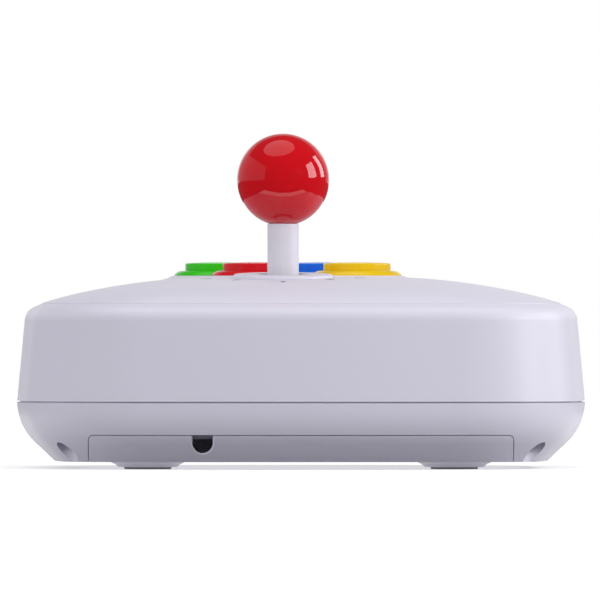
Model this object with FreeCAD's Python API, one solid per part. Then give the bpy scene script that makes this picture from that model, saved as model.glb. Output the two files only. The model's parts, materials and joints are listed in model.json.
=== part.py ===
"""Arcade stick: a moulded two-shell case with a ball-top lever, four large push buttons,
two small panel buttons and a cable compartment with a hinged door in its left end.

Millimetres. X runs along the case towards the right hand, Y away from the player, Z up.
The origin is the middle of the case on the surface that the foot pads stand on.
"""
import FreeCAD
import Part

import math
import os

V = FreeCAD.Vector
UP = V(0, 0, 1)
ALONG_X = V(1, 0, 0)
ALONG_Y = V(0, 1, 0)

# Cutting tools run past a surface by the first; edges are found by height or place within the second
OVERCUT = 1.0
EDGE_MATCH = 0.01

# Case
CASE_LENGTH = 290.0
CASE_DEPTH = 216.8
END_RADIUS = 500.0
SIDE_RADIUS = 1150.0
CORNER_RADIUS = 48.0
WALL = 2.5
BASE_Z = 2.85
PARTING_Z = 25.4
PARTING_GROOVE = 0.6
LOWER_ROUND = 21.3
LOWER_TURN = 47.0
WALL_DRAFT = 5.4
SHOULDER_Z = 62.6
SHOULDER_RADIUS = 6.0
SHOULDER_SLOPE = 22.0
PANEL_INSET = 9.6
PANEL_STEP = 0.3
LIP_INSET = 1.3
LIP_WALL = 1.0
LIP_HEIGHT = 3.0
LIP_GAP = 0.15
PANEL_CUT_DEPTH = 7.5

# Domed panel: inset along X, inset along Y, height above the panel step
DOME_SECTIONS = ((14.5, 18.6, 2.55), (24.0, 33.0, 5.65), (46.0, 54.2, 8.65), (80.0, 75.0, 9.95))
DOME_CORNER_GAIN = 0.12
DOME_CORNER_SHARE = 0.8

# Case screws and their wells
WELL_INSET = 10.4
WELL_ANGLE = 57.5
WELL_RADIUS = 4.1
WELL_WALL = 2.0
WELL_SEAT_Z = 16.0
PILLAR_TOP_Z = 30.0
SCREW_RADIUS = 1.5
SCREW_HEAD_RADIUS = 2.9
SCREW_HEAD_HEIGHT = 2.2
SCREW_HEAD_EDGE = 0.75
SCREW_GAP = 0.2
PILOT_GAP = 0.05
PILOT_END_ROOM = 1.0
CASE_SCREW_BITE = 9.0
BOSS_RADIUS = 4.0

# Feet
FOOT_X = 88.0
FOOT_Y = 58.0
FOOT_BOSS_TOP_RADIUS = 14.6
FOOT_BOSS_WAIST_RADIUS = 12.3
FOOT_BOSS_END_RADIUS = 11.2
FOOT_BOSS_END_Z = 0.8
FOOT_PAD_RADIUS = 9.0
FOOT_PAD_DEPTH = 2.2
FOOT_PAD_EDGE = 0.4
FOOT_PAD_GAP = 0.15

# Cable compartment and its door
DOOR_HALF_WIDTH = 80.1
DOOR_TOP_Z = 12.9
DOOR_CORNER = 1.7
DOOR_WALL = 2.2
DOOR_REACH = 37.8
DOOR_GAP = 0.25
DOOR_TAIL_GAP = 0.7
HINGE_SETBACK = 4.0
HINGE_RISE = 1.65
HINGE_PIN_RADIUS = 0.7
HINGE_PIN_LENGTH = 2.6
HINGE_CLEARANCE = 0.05
HINGE_CHEEK = 3.0
NOTCH_Y = 37.1
NOTCH_WIDTH = 7.7
NOTCH_DEPTH = 6.6
NOTCH_CHAMFER = 0.6
NOTCH_OVERRUN = 4.0
NOTCH_SETBACK = 8.0
ROOM_TOP_Z = 16.0
ROOM_WALL = 2.0
RIB_SETBACK = 7.0
RIB_DROP = 1.3
RIB_WALL = 1.6
INLET_Y = 46.0
INLET_Z = 10.5
INLET_WIDTH = 9.0
INLET_HEIGHT = 3.6
INLET_WALL = 0.5
INLET_DEPTH = 9.0
INLET_REACH = 1.5
INLET_FLANGE = 2.5
INLET_FLANGE_THICKNESS = 1.5
INLET_MOUTH_DEPTH = 4.5
INLET_TONGUE_WIDTH = 6.0
INLET_ROUND_SHARE = 0.9
INLET_GAP = 0.1
LEAD_RADIUS = 1.75
LEAD_BEND_SHARE = 0.45

# Stick: places
STICK_X = -78.0
STICK_Y = 6.8
PIVOT_Z = 62.0
TILT = 9.0
BALL_Z = 109.6
BALL_RADIUS = 17.5
SLEEVE_RADIUS = 5.95
SLEEVE_TOP_Z = 92.9
SHAFT_RADIUS = 4.0
SHAFT_END_RADIUS = 3.0
SHAFT_END_LENGTH = 13.0
SHAFT_LOWER_Z = 17.0
SEAT_GAP = 0.05
BORE_END_ROOM = 0.5

# Stick: collar
COLLAR_RADIUS = 19.0
COLLAR_THICKNESS = 2.0
COLLAR_HOLE_RADIUS = 9.4
COLLAR_TILT = 2.4
COLLAR_SEAT_Z = 71.85
COLLAR_EDGE = 1.2
COLLAR_GAP = 0.2
SPIGOT_RADIUS = 12.7
SPIGOT_LENGTH = 3.2

# Stick: gimbal and housing
BEAD_RADIUS = 9.6
BEAD_HALF_HEIGHT = 8.4
BEAD_GAP = 0.4
RING_WALL = 4.0
RING_HALF_HEIGHT = 3.2
PIN_RADIUS = 1.5
PIN_CLEARANCE = 0.05
LUG_GAP = 0.3
LUG_THICKNESS = 4.0
LUG_HALF_WIDTH = 4.5
PLATE_TOP_DROP = 9.0
PLATE_THICKNESS = 3.0
PLATE_HALF = 30.0
PLATE_CORNER = 5.0
PLATE_HOLE_RADIUS = 8.0
HOUSING_SCREW_OFFSET = 25.5
HOUSING_SCREW_BITE = 8.0
POST_RADIUS = 3.0
POST_X = 16.5
POST_Y = 23.5

# Stick: spring, actuator, gate and switches
SPRING_RADIUS = 10.3
SPRING_WIRE = 0.7
SPRING_TURNS = 4.0
SPRING_STEPS = 16
SPRING_SIDES = 8
SPRING_END_GAP = 0.1
ACTUATOR_RADIUS = 7.0
ACTUATOR_TOP_DROP = 26.5
ACTUATOR_LENGTH = 15.0
ACTUATOR_FLANGE_RADIUS = 12.2
ACTUATOR_FLANGE_THICKNESS = 2.0
CLIP_THICKNESS = 1.0
CLIP_RADIUS = 6.0
CLIP_GROOVE_RADIUS = 3.2
SWITCH_DROP = 33.6
SWITCH_LENGTH = 19.8
SWITCH_THICKNESS = 6.4
SWITCH_HEIGHT = 10.2
SWITCH_HOLE_GAP = 0.3
PLUNGER_RADIUS = 1.25
PLUNGER_REACH = 1.8
PLUNGER_INSIDE = 3.0
PLUNGER_TRAVEL = 0.8
PLUNGER_CLEAR = 0.3
BOARD_THICKNESS = 1.6
LEVER_BOARD_HALF = 27.0
GATE_THICKNESS = 2.5
GATE_CLEAR = 0.3
GATE_CORNER = 2.0
GATE_SCREW_BITE = 6.0
RIBBON_Y = -20.0
RIBBON_WIDTH = 8.0
RIBBON_THICKNESS = 0.8
RIBBON_LAP = 5.0
RIBBON_BEND = 4.0

# Push buttons: middle of each, in order round the island
RED_X = 15.0
RED_Y = 17.0
BUTTON_PITCH = 41.1
BUTTON_TURN = -69.3
ISLAND_Z = 73.3
ISLAND_MARGIN = 0.9
ISLAND_RAMP = ((9.6, 2.7), (6.5, 2.0), (3.0, 1.3), (0.9, 0.6), (0.0, 0.0))
BEZEL_RADIUS = 17.1
BEZEL_HEIGHT = 1.9
BEZEL_EDGE = 0.35
BEZEL_LAND = 1.35
BEZEL_BULGE = 0.3
BARREL_RADIUS = 14.9
BARREL_GAP = 0.15
BARREL_WALL = 0.9
BARREL_NECK_WALL = 1.65
BARREL_LENGTH = 15.5
BARREL_STEP_DEPTH = 7.3
SNAP_TAB_WIDTH = 6.0
SNAP_TAB_REACH = 0.9
SNAP_TAB_LENGTH = 4.0
SNAP_TAB_GAP = 1.0
CAP_GAP = 0.3
CAP_RISE = 3.4
CAP_CROWN = 0.5
CAP_EDGE = 0.6
CAP_TOP_THICKNESS = 2.0
CAP_SKIRT_THICKNESS = 1.6
CAP_FLANGE_GAP = 0.3
CAP_FLANGE_HEIGHT = 1.8
CAP_STOP_GAP = 0.15
CAP_TRAVEL = 2.8
STEM_RADIUS = 3.0
STEM_END_DEPTH = 12.3
STEM_PLUNGER_RADIUS = 1.6
STEM_PLUNGER_OUT = 3.4
STEM_PLUNGER_INSIDE = 4.0
PLUNGER_END_ROOM = 0.5

# Small panel buttons
SMALL_X = -26.0
SMALL_SPACING = 18.0
SMALL_RADIUS = 4.5
SMALL_GAP = 0.3
SMALL_TOP_Z = 74.1
SMALL_EDGE = 0.6
SMALL_FLANGE_REACH = 1.6
SMALL_FLANGE_HEIGHT = 1.8
SMALL_STEM_RADIUS = 2.2
SMALL_TRAVEL = 0.8
SMALL_SWITCH_HALF = 3.0
SMALL_SWITCH_HEIGHT = 4.0
SMALL_PLUNGER_RADIUS = 1.4
SMALL_PLUNGER_OUT = 2.0
SMALL_PLUNGER_INSIDE = 1.2

# Main board
BOARD_LEFT_X = -36.0
BOARD_RIGHT_X = 92.0
BOARD_FRONT_Y = -44.0
BOARD_REAR_Y = 54.0
BOARD_CORNER = 3.0
BOARD_HOLE_INSET = 5.0
BOARD_SCREW_BITE = 6.0

# Places worked out from the sizes above
PANEL_Z = SHOULDER_Z + PANEL_STEP
PANEL_TOP_Z = PANEL_Z + DOME_SECTIONS[-1][2]
DOOR_INNER_X = DOOR_REACH - CASE_LENGTH / 2
HINGE_X = DOOR_INNER_X - HINGE_SETBACK
HINGE_Z = BASE_Z + HINGE_RISE
ROOM_BACK_X = DOOR_INNER_X + DOOR_TAIL_GAP
RING_INNER = BEAD_RADIUS + BEAD_GAP
RING_OUTER = RING_INNER + RING_WALL
LUG_INNER = RING_OUTER + LUG_GAP
LUG_OUTER = LUG_INNER + LUG_THICKNESS
PLATE_TOP_Z = PIVOT_Z - PLATE_TOP_DROP
PLATE_Z = PLATE_TOP_Z - PLATE_THICKNESS
ACTUATOR_TOP_Z = PIVOT_Z - ACTUATOR_TOP_DROP
ACTUATOR_Z = ACTUATOR_TOP_Z - ACTUATOR_LENGTH
SWITCH_Z = PIVOT_Z - SWITCH_DROP
LEVER_BOARD_TOP_Z = SWITCH_Z - SWITCH_THICKNESS / 2
GATE_TOP_Z = LEVER_BOARD_TOP_Z - BOARD_THICKNESS
GATE_Z = GATE_TOP_Z - GATE_THICKNESS
BARREL_LOWER_BORE = BARREL_RADIUS - BARREL_WALL
BEZEL_BORE = BARREL_RADIUS - BARREL_NECK_WALL
BEZEL_CROWN_RADIUS = BEZEL_BORE + BEZEL_LAND
CAP_RADIUS = BEZEL_BORE - CAP_GAP
BEZEL_TOP_Z = ISLAND_Z + BEZEL_HEIGHT
CAP_TOP_Z = BEZEL_TOP_Z + CAP_RISE
BARREL_END_Z = ISLAND_Z - BARREL_LENGTH
STEM_END_Z = ISLAND_Z - STEM_END_DEPTH
BUTTON_SWITCH_TOP_Z = STEM_END_Z - STEM_PLUNGER_OUT
BOARD_TOP_Z = BUTTON_SWITCH_TOP_Z - SWITCH_HEIGHT
BOARD_Z = BOARD_TOP_Z - BOARD_THICKNESS


def swing_reach(drop):
    """Furthest side of the actuator from the stick's axis, at full tilt, below the pivot."""
    angle = math.radians(TILT)
    return drop * math.tan(angle) + ACTUATOR_RADIUS / math.cos(angle)


def rod(radius, z0, z1, x=0.0, y=0.0):
    return Part.makeCylinder(radius, z1 - z0, V(x, y, z0))


def ring(outer, inner, z0, z1, x=0.0, y=0.0):
    return rod(outer, z0, z1, x, y).cut(rod(inner, z0, z1, x, y))


def rod_along(radius, start, direction, length):
    return Part.makeCylinder(radius, length, start, direction)


def block(x0, x1, y0, y1, z0, z1):
    return Part.makeBox(x1 - x0, y1 - y0, z1 - z0, V(x0, y0, z0))


def rounded_block(x0, x1, y0, y1, z0, z1, corner):
    solid = block(x0, x1, y0, y1, z0, z1)
    edges = [edge for edge in solid.Edges if edge.BoundBox.ZLength > (z1 - z0) / 2]
    return solid.makeFillet(corner, edges)


def fused(shapes):
    return shapes[0].fuse(shapes[1:]).removeSplitter()


def arc(start, middle, end):
    return Part.Arc(start, middle, end).toShape()


def line(start, end):
    return Part.LineSegment(start, end).toShape()


def turned(edges, x=0.0, y=0.0):
    """Solid turned about the vertical line through x, y from a closed half section in X and Z."""
    face = Part.Face(Part.Wire(edges))
    solid = face.revolve(V(0, 0, 0), UP, 360)
    solid.translate(V(x, y, 0))
    return solid


def turned_polygon(points, x=0.0, y=0.0):
    corners = [V(radius, 0, z) for radius, z in points]
    edges = [line(corners[i - 1], corners[i]) for i in range(len(corners))]
    return turned(edges, x, y)


def outline(inset_x, inset_y, corner, z):
    """Plan outline of the case: bowed ends and sides with round corners, set in by the insets."""
    half_x = CASE_LENGTH / 2 - inset_x
    half_y = CASE_DEPTH / 2 - inset_y
    end_radius = END_RADIUS - inset_x
    side_radius = SIDE_RADIUS - inset_y
    end_centre = V(half_x - end_radius, 0, z)
    side_centre = V(0, half_y - side_radius, z)
    corner_centre = circles_meet(end_centre, end_radius - corner, side_centre, side_radius - corner)
    end_point = end_centre + unit(corner_centre - end_centre) * end_radius
    side_point = side_centre + unit(corner_centre - side_centre) * side_radius
    bend = corner_centre + unit((end_point - corner_centre) + (side_point - corner_centre)) * corner

    def mirrored(point, sign_x, sign_y):
        return V(point.x * sign_x, point.y * sign_y, point.z)

    right = V(half_x, 0, z)
    rear = V(0, half_y, z)
    edges = [
        arc(mirrored(end_point, 1, -1), right, end_point),
        arc(end_point, bend, side_point),
        arc(side_point, rear, mirrored(side_point, -1, 1)),
        arc(mirrored(side_point, -1, 1), mirrored(bend, -1, 1), mirrored(end_point, -1, 1)),
        arc(mirrored(end_point, -1, 1), mirrored(right, -1, 1), mirrored(end_point, -1, -1)),
        arc(mirrored(end_point, -1, -1), mirrored(bend, -1, -1), mirrored(side_point, -1, -1)),
        arc(mirrored(side_point, -1, -1), mirrored(rear, 1, -1), mirrored(side_point, 1, -1)),
        arc(mirrored(side_point, 1, -1), mirrored(bend, 1, -1), mirrored(end_point, 1, -1)),
    ]
    return Part.Wire(edges)


def unit(vector):
    return vector * (1.0 / vector.Length)


def circles_meet(first, first_radius, second, second_radius):
    """The crossing of two level circles that lies furthest towards +X and +Y."""
    span = second - first
    distance = span.Length
    along = (first_radius ** 2 - second_radius ** 2 + distance ** 2) / (2 * distance)
    aside = math.sqrt(first_radius ** 2 - along ** 2)
    direction = unit(span)
    normal = V(-direction.y, direction.x, 0)
    crossings = [first + direction * along + normal * aside * sign for sign in (1, -1)]
    return max(crossings, key=lambda point: point.x + point.y)


def even_outline(inset, z):
    return outline(inset, inset, CORNER_RADIUS - inset, z)


def prism(wire, height):
    return Part.Face(wire).extrude(V(0, 0, height))


def level_edges(solid, z):
    """Edges of a solid that lie all along one height."""
    edges = [edge for edge in solid.Edges if abs(edge.BoundBox.ZMin - z) < EDGE_MATCH]
    return [edge for edge in edges if abs(edge.BoundBox.ZMax - z) < EDGE_MATCH]


def corner_middle():
    """Middle of the rear right corner's rounding."""
    end_centre = V(CASE_LENGTH / 2 - END_RADIUS, 0, 0)
    side_centre = V(0, CASE_DEPTH / 2 - SIDE_RADIUS, 0)
    return circles_meet(end_centre, END_RADIUS - CORNER_RADIUS, side_centre, SIDE_RADIUS - CORNER_RADIUS)


def case_arcs():
    """The eight arcs of the case's outline: middle, radius, first and last angle in degrees."""
    corner = corner_middle()
    end_x = CASE_LENGTH / 2 - END_RADIUS
    side_y = CASE_DEPTH / 2 - SIDE_RADIUS
    first = math.degrees(math.atan2(corner.y, corner.x - end_x))
    last = math.degrees(math.atan2(corner.y - side_y, corner.x))
    ends = [(V(end_x, 0, 0), -first, first), (V(-end_x, 0, 0), 180 - first, 180 + first)]
    sides = [(V(0, side_y, 0), last, 180 - last), (V(0, -side_y, 0), 180 + last, 360 - last)]
    corners = [
        (V(corner.x, corner.y, 0), first, last),
        (V(-corner.x, corner.y, 0), 180 - last, 180 - first),
        (V(-corner.x, -corner.y, 0), 180 + first, 180 + last),
        (V(corner.x, -corner.y, 0), 360 - last, 360 - first),
    ]
    arcs = [(middle, END_RADIUS, a, b) for middle, a, b in ends]
    arcs += [(middle, SIDE_RADIUS, a, b) for middle, a, b in sides]
    arcs += [(middle, CORNER_RADIUS, a, b) for middle, a, b in corners]
    return arcs


def rim(section):
    """Carry a section, drawn by inset in X and height in Z, round the case's outline."""
    pieces = []
    for middle, radius, first, last in case_arcs():
        face = Part.Face(Part.Wire([edge.copy() for edge in section]))
        face = face.mirror(V(0, 0, 0), ALONG_X)
        face.translate(V(radius, 0, 0))
        piece = face.revolve(V(0, 0, 0), UP, last - first)
        piece.rotate(V(0, 0, 0), UP, first)
        piece.translate(middle)
        pieces.append(piece)
    return pieces


def shoulder_centre():
    """Middle of the shoulder's rounding: its radius away from both the wall and the sloping shoulder."""
    draft = math.radians(WALL_DRAFT)
    slope = math.radians(SHOULDER_SLOPE)
    rise = SHOULDER_Z - PANEL_INSET * math.tan(slope) - SHOULDER_RADIUS / math.cos(slope)
    inset = SHOULDER_RADIUS / math.cos(draft) + (rise - PARTING_Z) * math.tan(draft)
    inset = inset / (1 - math.tan(slope) * math.tan(draft))
    return V(inset, 0, rise + inset * math.tan(slope))


def upper_form(skin, start_z):
    """Outside of the upper half, moved in by skin: drafted wall, sloping shoulder, domed panel."""
    draft = math.radians(WALL_DRAFT)
    slope = math.radians(SHOULDER_SLOPE)
    radius = SHOULDER_RADIUS - skin
    centre = shoulder_centre()
    inner = PANEL_INSET + skin
    start = V(skin / math.cos(draft) + (start_z - PARTING_Z) * math.tan(draft), 0, start_z)
    bend = centre + V(-math.cos(draft), 0, math.sin(draft)) * radius
    crest = centre + V(-math.sin(slope), 0, math.cos(slope)) * radius
    shoulder = centre + unit((bend - centre) + (crest - centre)) * radius
    top = V(inner, 0, SHOULDER_Z - skin)
    foot = V(inner, 0, start_z)
    section = [line(start, bend), arc(bend, shoulder, crest)]
    section += [line(crest, top), line(top, foot), line(foot, start)]
    panel_z = PANEL_Z - skin
    core = prism(even_outline(inner, start_z), panel_z - start_z)
    sections = [even_outline(inner, panel_z)]
    for inset_x, inset_y, rise in DOME_SECTIONS:
        corner = CORNER_RADIUS - PANEL_INSET - skin + (inset_y - PANEL_INSET) * DOME_CORNER_GAIN
        corner = min(corner, (CASE_DEPTH / 2 - inset_y - skin) * DOME_CORNER_SHARE)
        sections.append(outline(inset_x + skin, inset_y + skin, corner, panel_z + rise))
    dome = Part.makeLoft(sections, True, False)
    return fused([core] + rim(section) + [dome])


def lower_form(skin):
    """Outside of the lower half, moved in by skin: upright, then round, then straight to the base."""
    radius = LOWER_ROUND - skin
    base_z = BASE_Z + skin
    turn = math.radians(LOWER_TURN)
    centre = V(LOWER_ROUND, 0, PARTING_Z)

    def on_round(angle):
        return centre + V(-radius * math.cos(angle), 0, -radius * math.sin(angle))

    start = on_round(0)
    low = on_round(turn)
    toe = V(low.x + (low.z - base_z) * math.tan(turn), 0, base_z)
    base = V(LOWER_ROUND, 0, base_z)
    section = [arc(start, on_round(turn / 2), low), line(low, toe)]
    section += [line(toe, base), line(base, centre), line(centre, start)]
    core = prism(even_outline(LOWER_ROUND, base_z), PARTING_Z - base_z)
    return fused([core] + rim(section))


def well_places():
    """Middles of the four case screws, on the rounding of each corner."""
    corner = corner_middle()
    angle = math.radians(WELL_ANGLE)
    reach = CORNER_RADIUS - WELL_INSET
    x = corner.x + reach * math.cos(angle)
    y = corner.y + reach * math.sin(angle)
    return [(x * i, y * j) for i in (1, -1) for j in (1, -1)]


def button_places():
    """Middles of the four push buttons: a turned square, in order round the island."""
    angle = math.radians(BUTTON_TURN)
    step = V(math.cos(angle), math.sin(angle), 0) * BUTTON_PITCH
    across = V(-step.y, step.x, 0)
    red = V(RED_X, RED_Y, 0)
    return {"red": red, "yellow": red + step, "blue": red + step + across, "green": red + across}


def board_screw_places():
    xs = (BOARD_LEFT_X + BOARD_HOLE_INSET, BOARD_RIGHT_X - BOARD_HOLE_INSET)
    ys = (BOARD_FRONT_Y + BOARD_HOLE_INSET, BOARD_REAR_Y - BOARD_HOLE_INSET)
    return [(x, y) for x in xs for y in ys]


def housing_screw_places():
    offset = HOUSING_SCREW_OFFSET
    return [(STICK_X + offset * i, STICK_Y + offset * j) for i in (1, -1) for j in (1, -1)]


def post_places():
    return [(STICK_X + POST_X * i, STICK_Y + POST_Y * j) for i in (1, -1) for j in (1, -1)]


def foot_places():
    names = {(-1, -1): "front_left", (1, -1): "front_right", (-1, 1): "rear_left", (1, 1): "rear_right"}
    return {names[key]: (FOOT_X * key[0], FOOT_Y * key[1]) for key in names}


def small_button_places():
    half = SMALL_SPACING / 2
    return {"start": (SMALL_X, STICK_Y + half), "select": (SMALL_X, STICK_Y - half)}


def hull_outline(middles, radius, z):
    """Outline that wraps circles of one radius, given in turn anticlockwise."""
    edges = []
    count = len(middles)
    normals = []
    for i in range(count):
        side = unit(middles[(i + 1) % count] - middles[i])
        normals.append(V(side.y, -side.x, 0))
    lift = V(0, 0, z)
    for i in range(count):
        middle = middles[i] + lift
        before = normals[i - 1]
        after = normals[i]
        start = middle + before * radius
        end = middle + after * radius
        edges.append(arc(start, middle + unit(before + after) * radius, end))
        edges.append(line(end, middles[(i + 1) % count] + lift + after * radius))
    return Part.Wire(edges)


def island():
    """Raised flat round the push buttons, with a hollow ramp down to the dome."""
    middles = list(button_places().values())
    edge = BEZEL_RADIUS + ISLAND_MARGIN
    wires = [hull_outline(middles, edge + out, ISLAND_Z - drop) for out, drop in ISLAND_RAMP]
    return Part.makeLoft(wires, True, False)


def collar_placed(solid):
    """Turn a solid made on the seat's own axis to the slope of the panel at the stick."""
    solid.rotate(V(0, 0, 0), ALONG_Y, -COLLAR_TILT)
    solid.translate(V(STICK_X, STICK_Y, COLLAR_SEAT_Z))
    return solid


def top_shell():
    rim_z = PARTING_Z + PARTING_GROOVE / 2
    solid = fused([upper_form(0.0, rim_z), island()])
    cavity = upper_form(WALL, rim_z)
    solid = solid.cut(cavity)
    rebate_z = PARTING_Z + LIP_HEIGHT + LIP_GAP
    solid = solid.cut(prism(even_outline(LIP_INSET - LIP_GAP, rim_z), rebate_z - rim_z))
    bosses = [rod(BOSS_RADIUS, PILLAR_TOP_Z, PANEL_TOP_Z, x, y) for x, y in well_places()]
    bosses += [rod(BOSS_RADIUS, PLATE_TOP_Z, PANEL_TOP_Z, x, y) for x, y in housing_screw_places()]
    bosses += [rod(BOSS_RADIUS, BOARD_TOP_Z, PANEL_TOP_Z, x, y) for x, y in board_screw_places()]
    middle_skin = upper_form(WALL / 2, rim_z)
    bosses = [boss.common(middle_skin) for boss in bosses]
    solid = fused([solid] + bosses)
    pilot = SCREW_RADIUS + PILOT_GAP
    holes = []
    for x, y in well_places():
        holes.append(rod(pilot, PILLAR_TOP_Z, PILLAR_TOP_Z + CASE_SCREW_BITE + PILOT_END_ROOM, x, y))
    for x, y in housing_screw_places():
        holes.append(rod(pilot, PLATE_TOP_Z, PLATE_TOP_Z + HOUSING_SCREW_BITE + PILOT_END_ROOM, x, y))
    for x, y in board_screw_places():
        holes.append(rod(pilot, BOARD_TOP_Z, BOARD_TOP_Z + BOARD_SCREW_BITE + PILOT_END_ROOM, x, y))
    deck_z = PANEL_TOP_Z - PANEL_CUT_DEPTH
    cut_top = ISLAND_Z + OVERCUT
    for middle in button_places().values():
        holes.append(rod(BARREL_RADIUS + BARREL_GAP, deck_z, cut_top, middle.x, middle.y))
    for x, y in small_button_places().values():
        holes.append(rod(SMALL_RADIUS + SMALL_GAP, deck_z, cut_top, x, y))
    seat = rod(COLLAR_RADIUS + COLLAR_GAP, 0, COLLAR_THICKNESS + OVERCUT)
    throat = rod(SPIGOT_RADIUS + COLLAR_GAP, -PANEL_CUT_DEPTH, COLLAR_THICKNESS)
    holes += [collar_placed(seat), collar_placed(throat)]
    return solid.cut(holes)


def door_blank(grow):
    """Upright face of the door, drawn out along X over the left end; grow widens it all round."""
    half = DOOR_HALF_WIDTH + grow
    top = DOOR_TOP_Z + grow
    inner = DOOR_INNER_X + (DOOR_TAIL_GAP if grow else 0.0)
    blank = block(-CASE_LENGTH, inner, -half, half, 0, top)
    tops = [e for e in level_edges(blank, top) if e.BoundBox.XLength > CASE_LENGTH / 4]
    return blank.makeFillet(DOOR_CORNER + grow, tops)


def notch(top):
    """Cable notch: upright sides with a round end, cut along X and open at the top."""
    radius = NOTCH_WIDTH / 2
    centre_z = DOOR_TOP_Z - NOTCH_DEPTH + radius
    x = -CASE_LENGTH
    left = V(x, NOTCH_Y - radius, centre_z)
    right = V(x, NOTCH_Y + radius, centre_z)
    top_left = V(x, NOTCH_Y - radius, top)
    top_right = V(x, NOTCH_Y + radius, top)
    edges = [
        line(top_left, left),
        arc(left, V(x, NOTCH_Y, centre_z - radius), right),
        line(right, top_right),
        line(top_right, top_left),
    ]
    reach = CASE_LENGTH + DOOR_INNER_X - NOTCH_SETBACK
    return Part.Face(Part.Wire(edges)).extrude(V(reach, 0, 0))


def notch_edges(plate, outside, top):
    """Edges of the notch that lie on the outside of the door, below its cut top."""
    half = NOTCH_WIDTH / 2 + EDGE_MATCH
    edges = []
    for edge in plate.Edges:
        middle = edge.valueAt((edge.FirstParameter + edge.LastParameter) / 2)
        in_notch = abs(middle.y - NOTCH_Y) < half and middle.z < top - EDGE_MATCH
        if in_notch and Part.Vertex(middle).distToShape(outside)[0] < EDGE_MATCH:
            edges.append(edge)
    return edges


def inlet_block(grow, x0, x1):
    """Oblong bar through the cable inlet, with round ends."""
    half_width = INLET_WIDTH / 2 + grow
    half_height = INLET_HEIGHT / 2 + grow
    y0, y1 = INLET_Y - half_width, INLET_Y + half_width
    bar = block(x0, x1, y0, y1, INLET_Z - half_height, INLET_Z + half_height)
    edges = [edge for edge in bar.Edges if edge.BoundBox.XLength > (x1 - x0) / 2]
    return bar.makeFillet(half_height * INLET_ROUND_SHARE, edges)


def foot_boss(x, y):
    """Foot moulded on the base, with a hollow flare from the base to its flat end."""
    inside_z = BASE_Z + WALL / 2
    points = (
        (0, inside_z),
        (FOOT_BOSS_TOP_RADIUS, inside_z),
        (FOOT_BOSS_TOP_RADIUS, BASE_Z),
        (FOOT_BOSS_WAIST_RADIUS, (BASE_Z + FOOT_BOSS_END_Z) / 2),
        (FOOT_BOSS_END_RADIUS, FOOT_BOSS_END_Z),
        (0, FOOT_BOSS_END_Z),
    )
    return turned_polygon(points, x, y)


def bottom_shell():
    rim_z = PARTING_Z - PARTING_GROOVE / 2
    reach = CASE_LENGTH
    outside = lower_form(0.0)
    inside = lower_form(WALL)
    middle_skin = lower_form(WALL / 2)
    trim = block(-reach, reach, -reach, reach, rim_z, PARTING_Z + OVERCUT)
    tray = outside.cut(inside).cut(trim)
    lip_start = PARTING_Z - LIP_HEIGHT
    lip = prism(even_outline(LIP_INSET, lip_start), 2 * LIP_HEIGHT)
    lip = lip.cut(prism(even_outline(LIP_INSET + LIP_WALL, lip_start), 2 * LIP_HEIGHT))
    pieces = [tray, lip]
    for x, y in well_places():
        pillar = rod(WELL_RADIUS + WELL_WALL, BASE_Z, PILLAR_TOP_Z, x, y)
        low = pillar.common(middle_skin)
        neck = rod(BOSS_RADIUS, PARTING_Z - WALL, PILLAR_TOP_Z, x, y)
        pieces += [low, neck]
    half = DOOR_HALF_WIDTH + DOOR_GAP
    side = half + ROOM_WALL
    room = block(-reach, ROOM_BACK_X + ROOM_WALL, -side, side, BASE_Z, ROOM_TOP_Z + ROOM_WALL)
    hollow = block(-reach, ROOM_BACK_X, -half, half, 0, ROOM_TOP_Z)
    liner = room.common(middle_skin).cut(hollow.common(inside))
    pieces.append(liner.cut(hollow))
    rib_zone = block(-reach, ROOM_BACK_X, -half, half, DOOR_TOP_Z - RIB_DROP, ROOM_TOP_Z + ROOM_WALL / 2)
    rib = lower_form(RIB_SETBACK).cut(lower_form(RIB_SETBACK + RIB_WALL)).common(rib_zone)
    for side in (1, -1):
        cheek_y = sorted((side * half, side * (half + HINGE_CHEEK)))
        x0, x1 = HINGE_X - HINGE_CHEEK, HINGE_X + HINGE_CHEEK
        cheek = block(x0, x1, cheek_y[0], cheek_y[1], BASE_Z + WALL / 2, HINGE_Z + HINGE_CHEEK)
        pieces.append(cheek.common(middle_skin))
    pieces += [foot_boss(x, y) for x, y in foot_places().values()]
    solid = fused(pieces)
    solid = solid.cut(door_blank(DOOR_GAP).cut(inside.common(hollow)))
    solid = solid.cut(hollow.common(inside))
    solid = fused([solid, rib])
    cuts = []
    for x, y in well_places():
        cuts.append(rod(WELL_RADIUS, 0, WELL_SEAT_Z, x, y))
        cuts.append(rod(SCREW_RADIUS + SCREW_GAP, WELL_SEAT_Z, PILLAR_TOP_Z, x, y))
    for x, y in foot_places().values():
        cuts.append(rod(FOOT_PAD_RADIUS + FOOT_PAD_GAP, 0, FOOT_PAD_DEPTH, x, y))
    pin_reach = 2 * (half + HINGE_PIN_LENGTH)
    pin_start = V(HINGE_X, -pin_reach / 2, HINGE_Z)
    cuts.append(rod_along(HINGE_PIN_RADIUS + HINGE_CLEARANCE, pin_start, ALONG_Y, pin_reach))
    cuts.append(inlet_block(INLET_GAP, ROOM_BACK_X - OVERCUT, ROOM_BACK_X + ROOM_WALL + OVERCUT))
    return solid.cut(cuts)


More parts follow.
